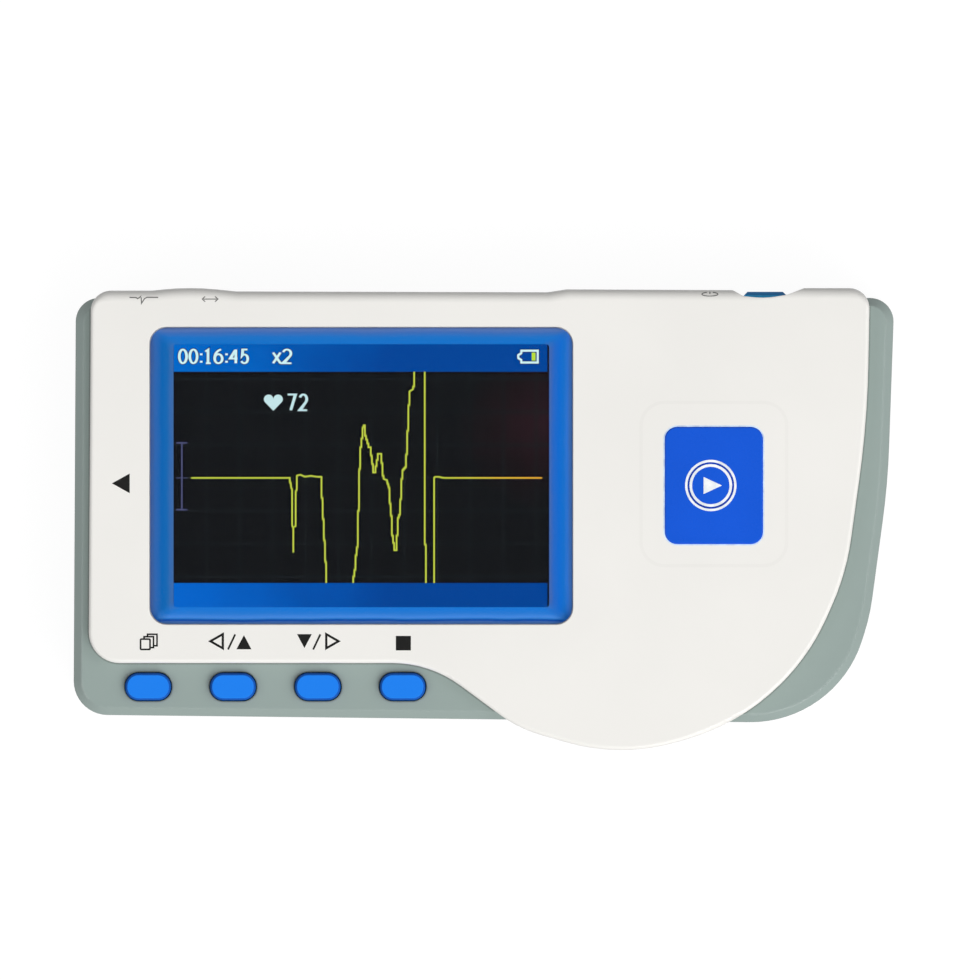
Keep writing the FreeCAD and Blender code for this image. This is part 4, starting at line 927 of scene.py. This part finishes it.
def make_rim_marks():
    """Small marks on the rounded socket side: a wave, a data mark and a power mark."""
    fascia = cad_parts["fascia"]
    surface = BVHTree.FromObject(fascia, bpy.context.evaluated_depsgraph_get())
    above = high_corner("window_lens").z + 1

    def skin(x, y):
        hit = surface.ray_cast(Vector((x, y, above)) * MM, Vector((0, 0, -1)))
        return hit[0].z / MM

    grey = ink("grey_ink", srgb(112, 112, 110))

    x, y = middle("lead_socket").x, WAVE_ROW
    wave = Drawing().line([
        (x - 2.18, y), (x - 1.16, y - 0.02), (x - 0.96, y - 0.18), (x - 0.66, y - 0.02),
        (x - 0.42, y + 0.2), (x - 0.36, y - 0.9), (x + 0.1, y - 0.2), (x + 0.5, y + 0.02),
        (x + 2.18, y),
    ], 0.16)
    printed_piece("wave_mark", wave.cut_even(), skin, grey)

    x, y = middle("usb_socket").x, high_corner("fascia").y - DATA_INSET
    stem_half, tip, barb, barb_half, data_line = 1.0, 1.2, 0.75, 0.4, 0.15
    data = Drawing().line([(x - stem_half, y), (x + stem_half, y)], data_line)
    for side in (-1, 1):
        data.line([
            (x + side * barb, y + barb_half), (x + side * tip, y), (x + side * barb, y - barb_half),
        ], data_line)
    printed_piece("data_mark", data.cut_even(), skin, grey)

    x, y = POWER_MARK
    power = Drawing().line(arc((x, y), (1.22, 0.3), 112, 428, 22), 0.14)
    power.line([(x, y + 0.02), (x, y + 0.38)], 0.16)
    printed_piece("power_mark", power.cut_even(), skin, grey)


def make_measure_symbol():
    """Two rings and a triangle on the blue inlay, and a pale edge around it; they move with the key."""
    white = ink("white_ink", srgb(244, 250, 255))
    inlay = middle("measure_inlay")
    x, y = inlay.x - SYMBOL_SHIFT, inlay.y
    top = high_corner("measure_inlay").z
    symbol = Drawing()
    for radius, width in SYMBOL_RINGS:
        symbol.outline(ring((x, y), (radius, radius), RING_STEPS), width)
    symbol.fill([(x - 1.1, y + 1.3), (x - 1.1, y - 1.3), (x + 1.7, y)])
    thin_piece("measure_symbol", symbol, top, INK, white, MEASURE_KEY)

    # a navy ring painted between the two rings as the shade of a groove
    radius, width = SYMBOL_GROOVE_SHADE
    groove_shade = Drawing().outline(ring((x, y), (radius, radius), RING_STEPS), width)
    navy = ink("navy_ink", srgb(16, 62, 170))
    thin_piece("measure_symbol_groove_shade", groove_shade, top, INK / 2, navy, MEASURE_KEY)

    edge = Drawing().outline(around("measure_inlay", INLAY_RADIUS, INLAY_EDGE / 2), INLAY_EDGE)
    pale = ink("pale_blue_edge", srgb(206, 224, 250))
    cap_top = high_corner("measure_key").z
    thin_piece("inlay_edge", edge, cap_top, INK, pale, MEASURE_KEY)


def make_measure_seal():
    """A thin white film over the narrow gap around the measure key's cap."""
    gap_line = around("measure_key", CAP_RADIUS + CAP_FLANGE, CAP_GAP / 2 - CAP_FLANGE)
    seal = Drawing().outline(gap_line, SEAL_WIDTH)
    look = white_gloss("seal_film", srgb(236, 234, 229)).material
    level = high_corner("fascia").z
    thin_piece("measure_seal", seal, level, INK / 2, look, CASE)


# --- sockets and screws ------------------------------------------------------------------------

def make_socket_contacts():
    """Gold strips on the tongue inside each socket."""
    look = gold()
    for node, count in (("usb_socket", 5), ("lead_socket", 6)):
        low, high = low_corner(node), high_corner(node)
        room = high.x - low.x - 2 * CONTACT_MARGIN
        pitch = room / (count - 1)
        strips = Drawing()
        for index in range(count):
            x = middle(node).x - room / 2 + index * pitch
            ends = [(x, high.y - CONTACT_BACK), (x, high.y - CONTACT_FRONT)]
            strips.line(ends, pitch * CONTACT_SHARE)
        level = middle(node).z + TONGUE_HALF
        name = f"{node}_contacts"
        thin_piece(name, strips, level, CONTACT_THICKNESS, look, CASE)


def make_painted_slot_shade():
    """A dark cross painted on each case screw's head as the shade of its slot, which is seen on the
    back.
    """
    heads = []
    lowest = low_corner("case_screws").z
    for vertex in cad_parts["case_screws"].data.vertices:
        place = vertex.co / MM
        if place.z > lowest + HEAD_FACE:
            continue
        for head in heads:
            if (head[0] - place).length < HEAD_SPACING:
                head.append(place)
                break
        else:
            heads.append([place])
    slots = Drawing()
    for head in heads:
        x, y = (sum(point[axis] for point in head) / len(head) for axis in (0, 1))
        slots.line([(x - SLOT_HALF, y), (x + SLOT_HALF, y)], SLOT_WIDTH)
        slots.line([(x, y - SLOT_HALF), (x, y + SLOT_HALF)], SLOT_WIDTH)
    look = matte("slot_shadow", (0.02, 0.02, 0.02), 0.6, 900)
    thin_piece("painted_screw_slot_shade", slots, lowest - INK, INK, look, CASE)


# --- stage -------------------------------------------------------------------------------------

def seen_directly(tree):
    """One for rays from the camera, mirrors and glass, and zero for the light that falls on things."""
    path = tree.nodes.new("ShaderNodeLightPath")
    total = path.outputs["Is Camera Ray"]
    for name in ("Is Glossy Ray", "Is Transmission Ray"):
        add = tree.nodes.new("ShaderNodeMath")
        add.operation = "MAXIMUM"
        tree.links.new(total, add.inputs[0])
        tree.links.new(path.outputs[name], add.inputs[1])
        total = add.outputs["Value"]
    return total


def make_floor():
    half = FLOOR_HALF * MM
    corners = [(x, y, 0) for x, y in box_points(-half, -half, half, half)]
    data = bpy.data.meshes.new("floor")
    data.from_pydata(corners, [], [(0, 1, 2, 3)])
    floor = bpy.data.objects.new("floor", data)
    floor.location.z = -FLOOR_DROP * MM
    bpy.context.scene.collection.objects.link(floor)
    look = Look("pale_floor").mottle((0.09, 0.09, 0.09), 0.01, 3)
    look.fixed(Roughness=0.9, Emission_Color=(1.0, 1.0, 1.0, 1.0))
    strength = look.math("MULTIPLY", seen_directly(look.tree), FLOOR_WHITE)
    look.link(strength, look.shader.inputs["Emission Strength"])
    data.materials.append(look.material)


def make_world():
    """Soft light from all sides, and a white background for what is seen directly."""
    world = bpy.data.worlds.new("studio")
    world.use_nodes = True
    tree = world.node_tree
    tree.nodes.clear()
    mix = tree.nodes.new("ShaderNodeMixShader")
    tree.links.new(seen_directly(tree), mix.inputs["Fac"])
    for index, (color, strength) in enumerate((SOFT_LIGHT, BACKGROUND), start=1):
        background = tree.nodes.new("ShaderNodeBackground")
        background.inputs["Color"].default_value = color
        background.inputs["Strength"].default_value = strength
        tree.links.new(background.outputs["Background"], mix.inputs[index])
    output = tree.nodes.new("ShaderNodeOutputWorld")
    tree.links.new(mix.outputs["Shader"], output.inputs["Surface"])
    bpy.context.scene.world = world


def make_lights():
    """Square lamps that point at the middle of the object."""
    for name, place, size, power in SOFTBOXES:
        data = bpy.data.lights.new(name, "AREA")
        data.size = size
        data.energy = power
        lamp = bpy.data.objects.new(name, data)
        lamp.location = place
        lamp.rotation_euler = Vector(place).to_track_quat("Z", "Y").to_euler()
        bpy.context.scene.collection.objects.link(lamp)


def make_camera():
    """Straight above the object's front, framed as the front view is."""
    data = bpy.data.cameras.new("camera")
    data.sensor_width = SENSOR
    data.lens = SENSOR * CAMERA_DISTANCE / FRAME_WIDTH
    camera = bpy.data.objects.new("camera", data)
    front = high_corner("fascia").z
    camera.location = Vector((*FRAME_CENTRE, front + CAMERA_DISTANCE)) * MM
    bpy.context.scene.collection.objects.link(camera)
    bpy.context.scene.camera = camera


make_camera()
dress_nodes()
lcd = Screen()
make_bars(lcd)
make_grid(lcd)
make_scale(lcd)
make_trace(lcd)
make_status_marks(lcd)
make_pulse(lcd)
make_window_border(lcd)
make_key_symbols()
make_rim_marks()
make_measure_symbol()
make_measure_seal()
make_socket_contacts()
make_painted_slot_shade()
make_floor()
make_world()
make_lights()
bpy.context.scene.view_settings.view_transform = "Standard"
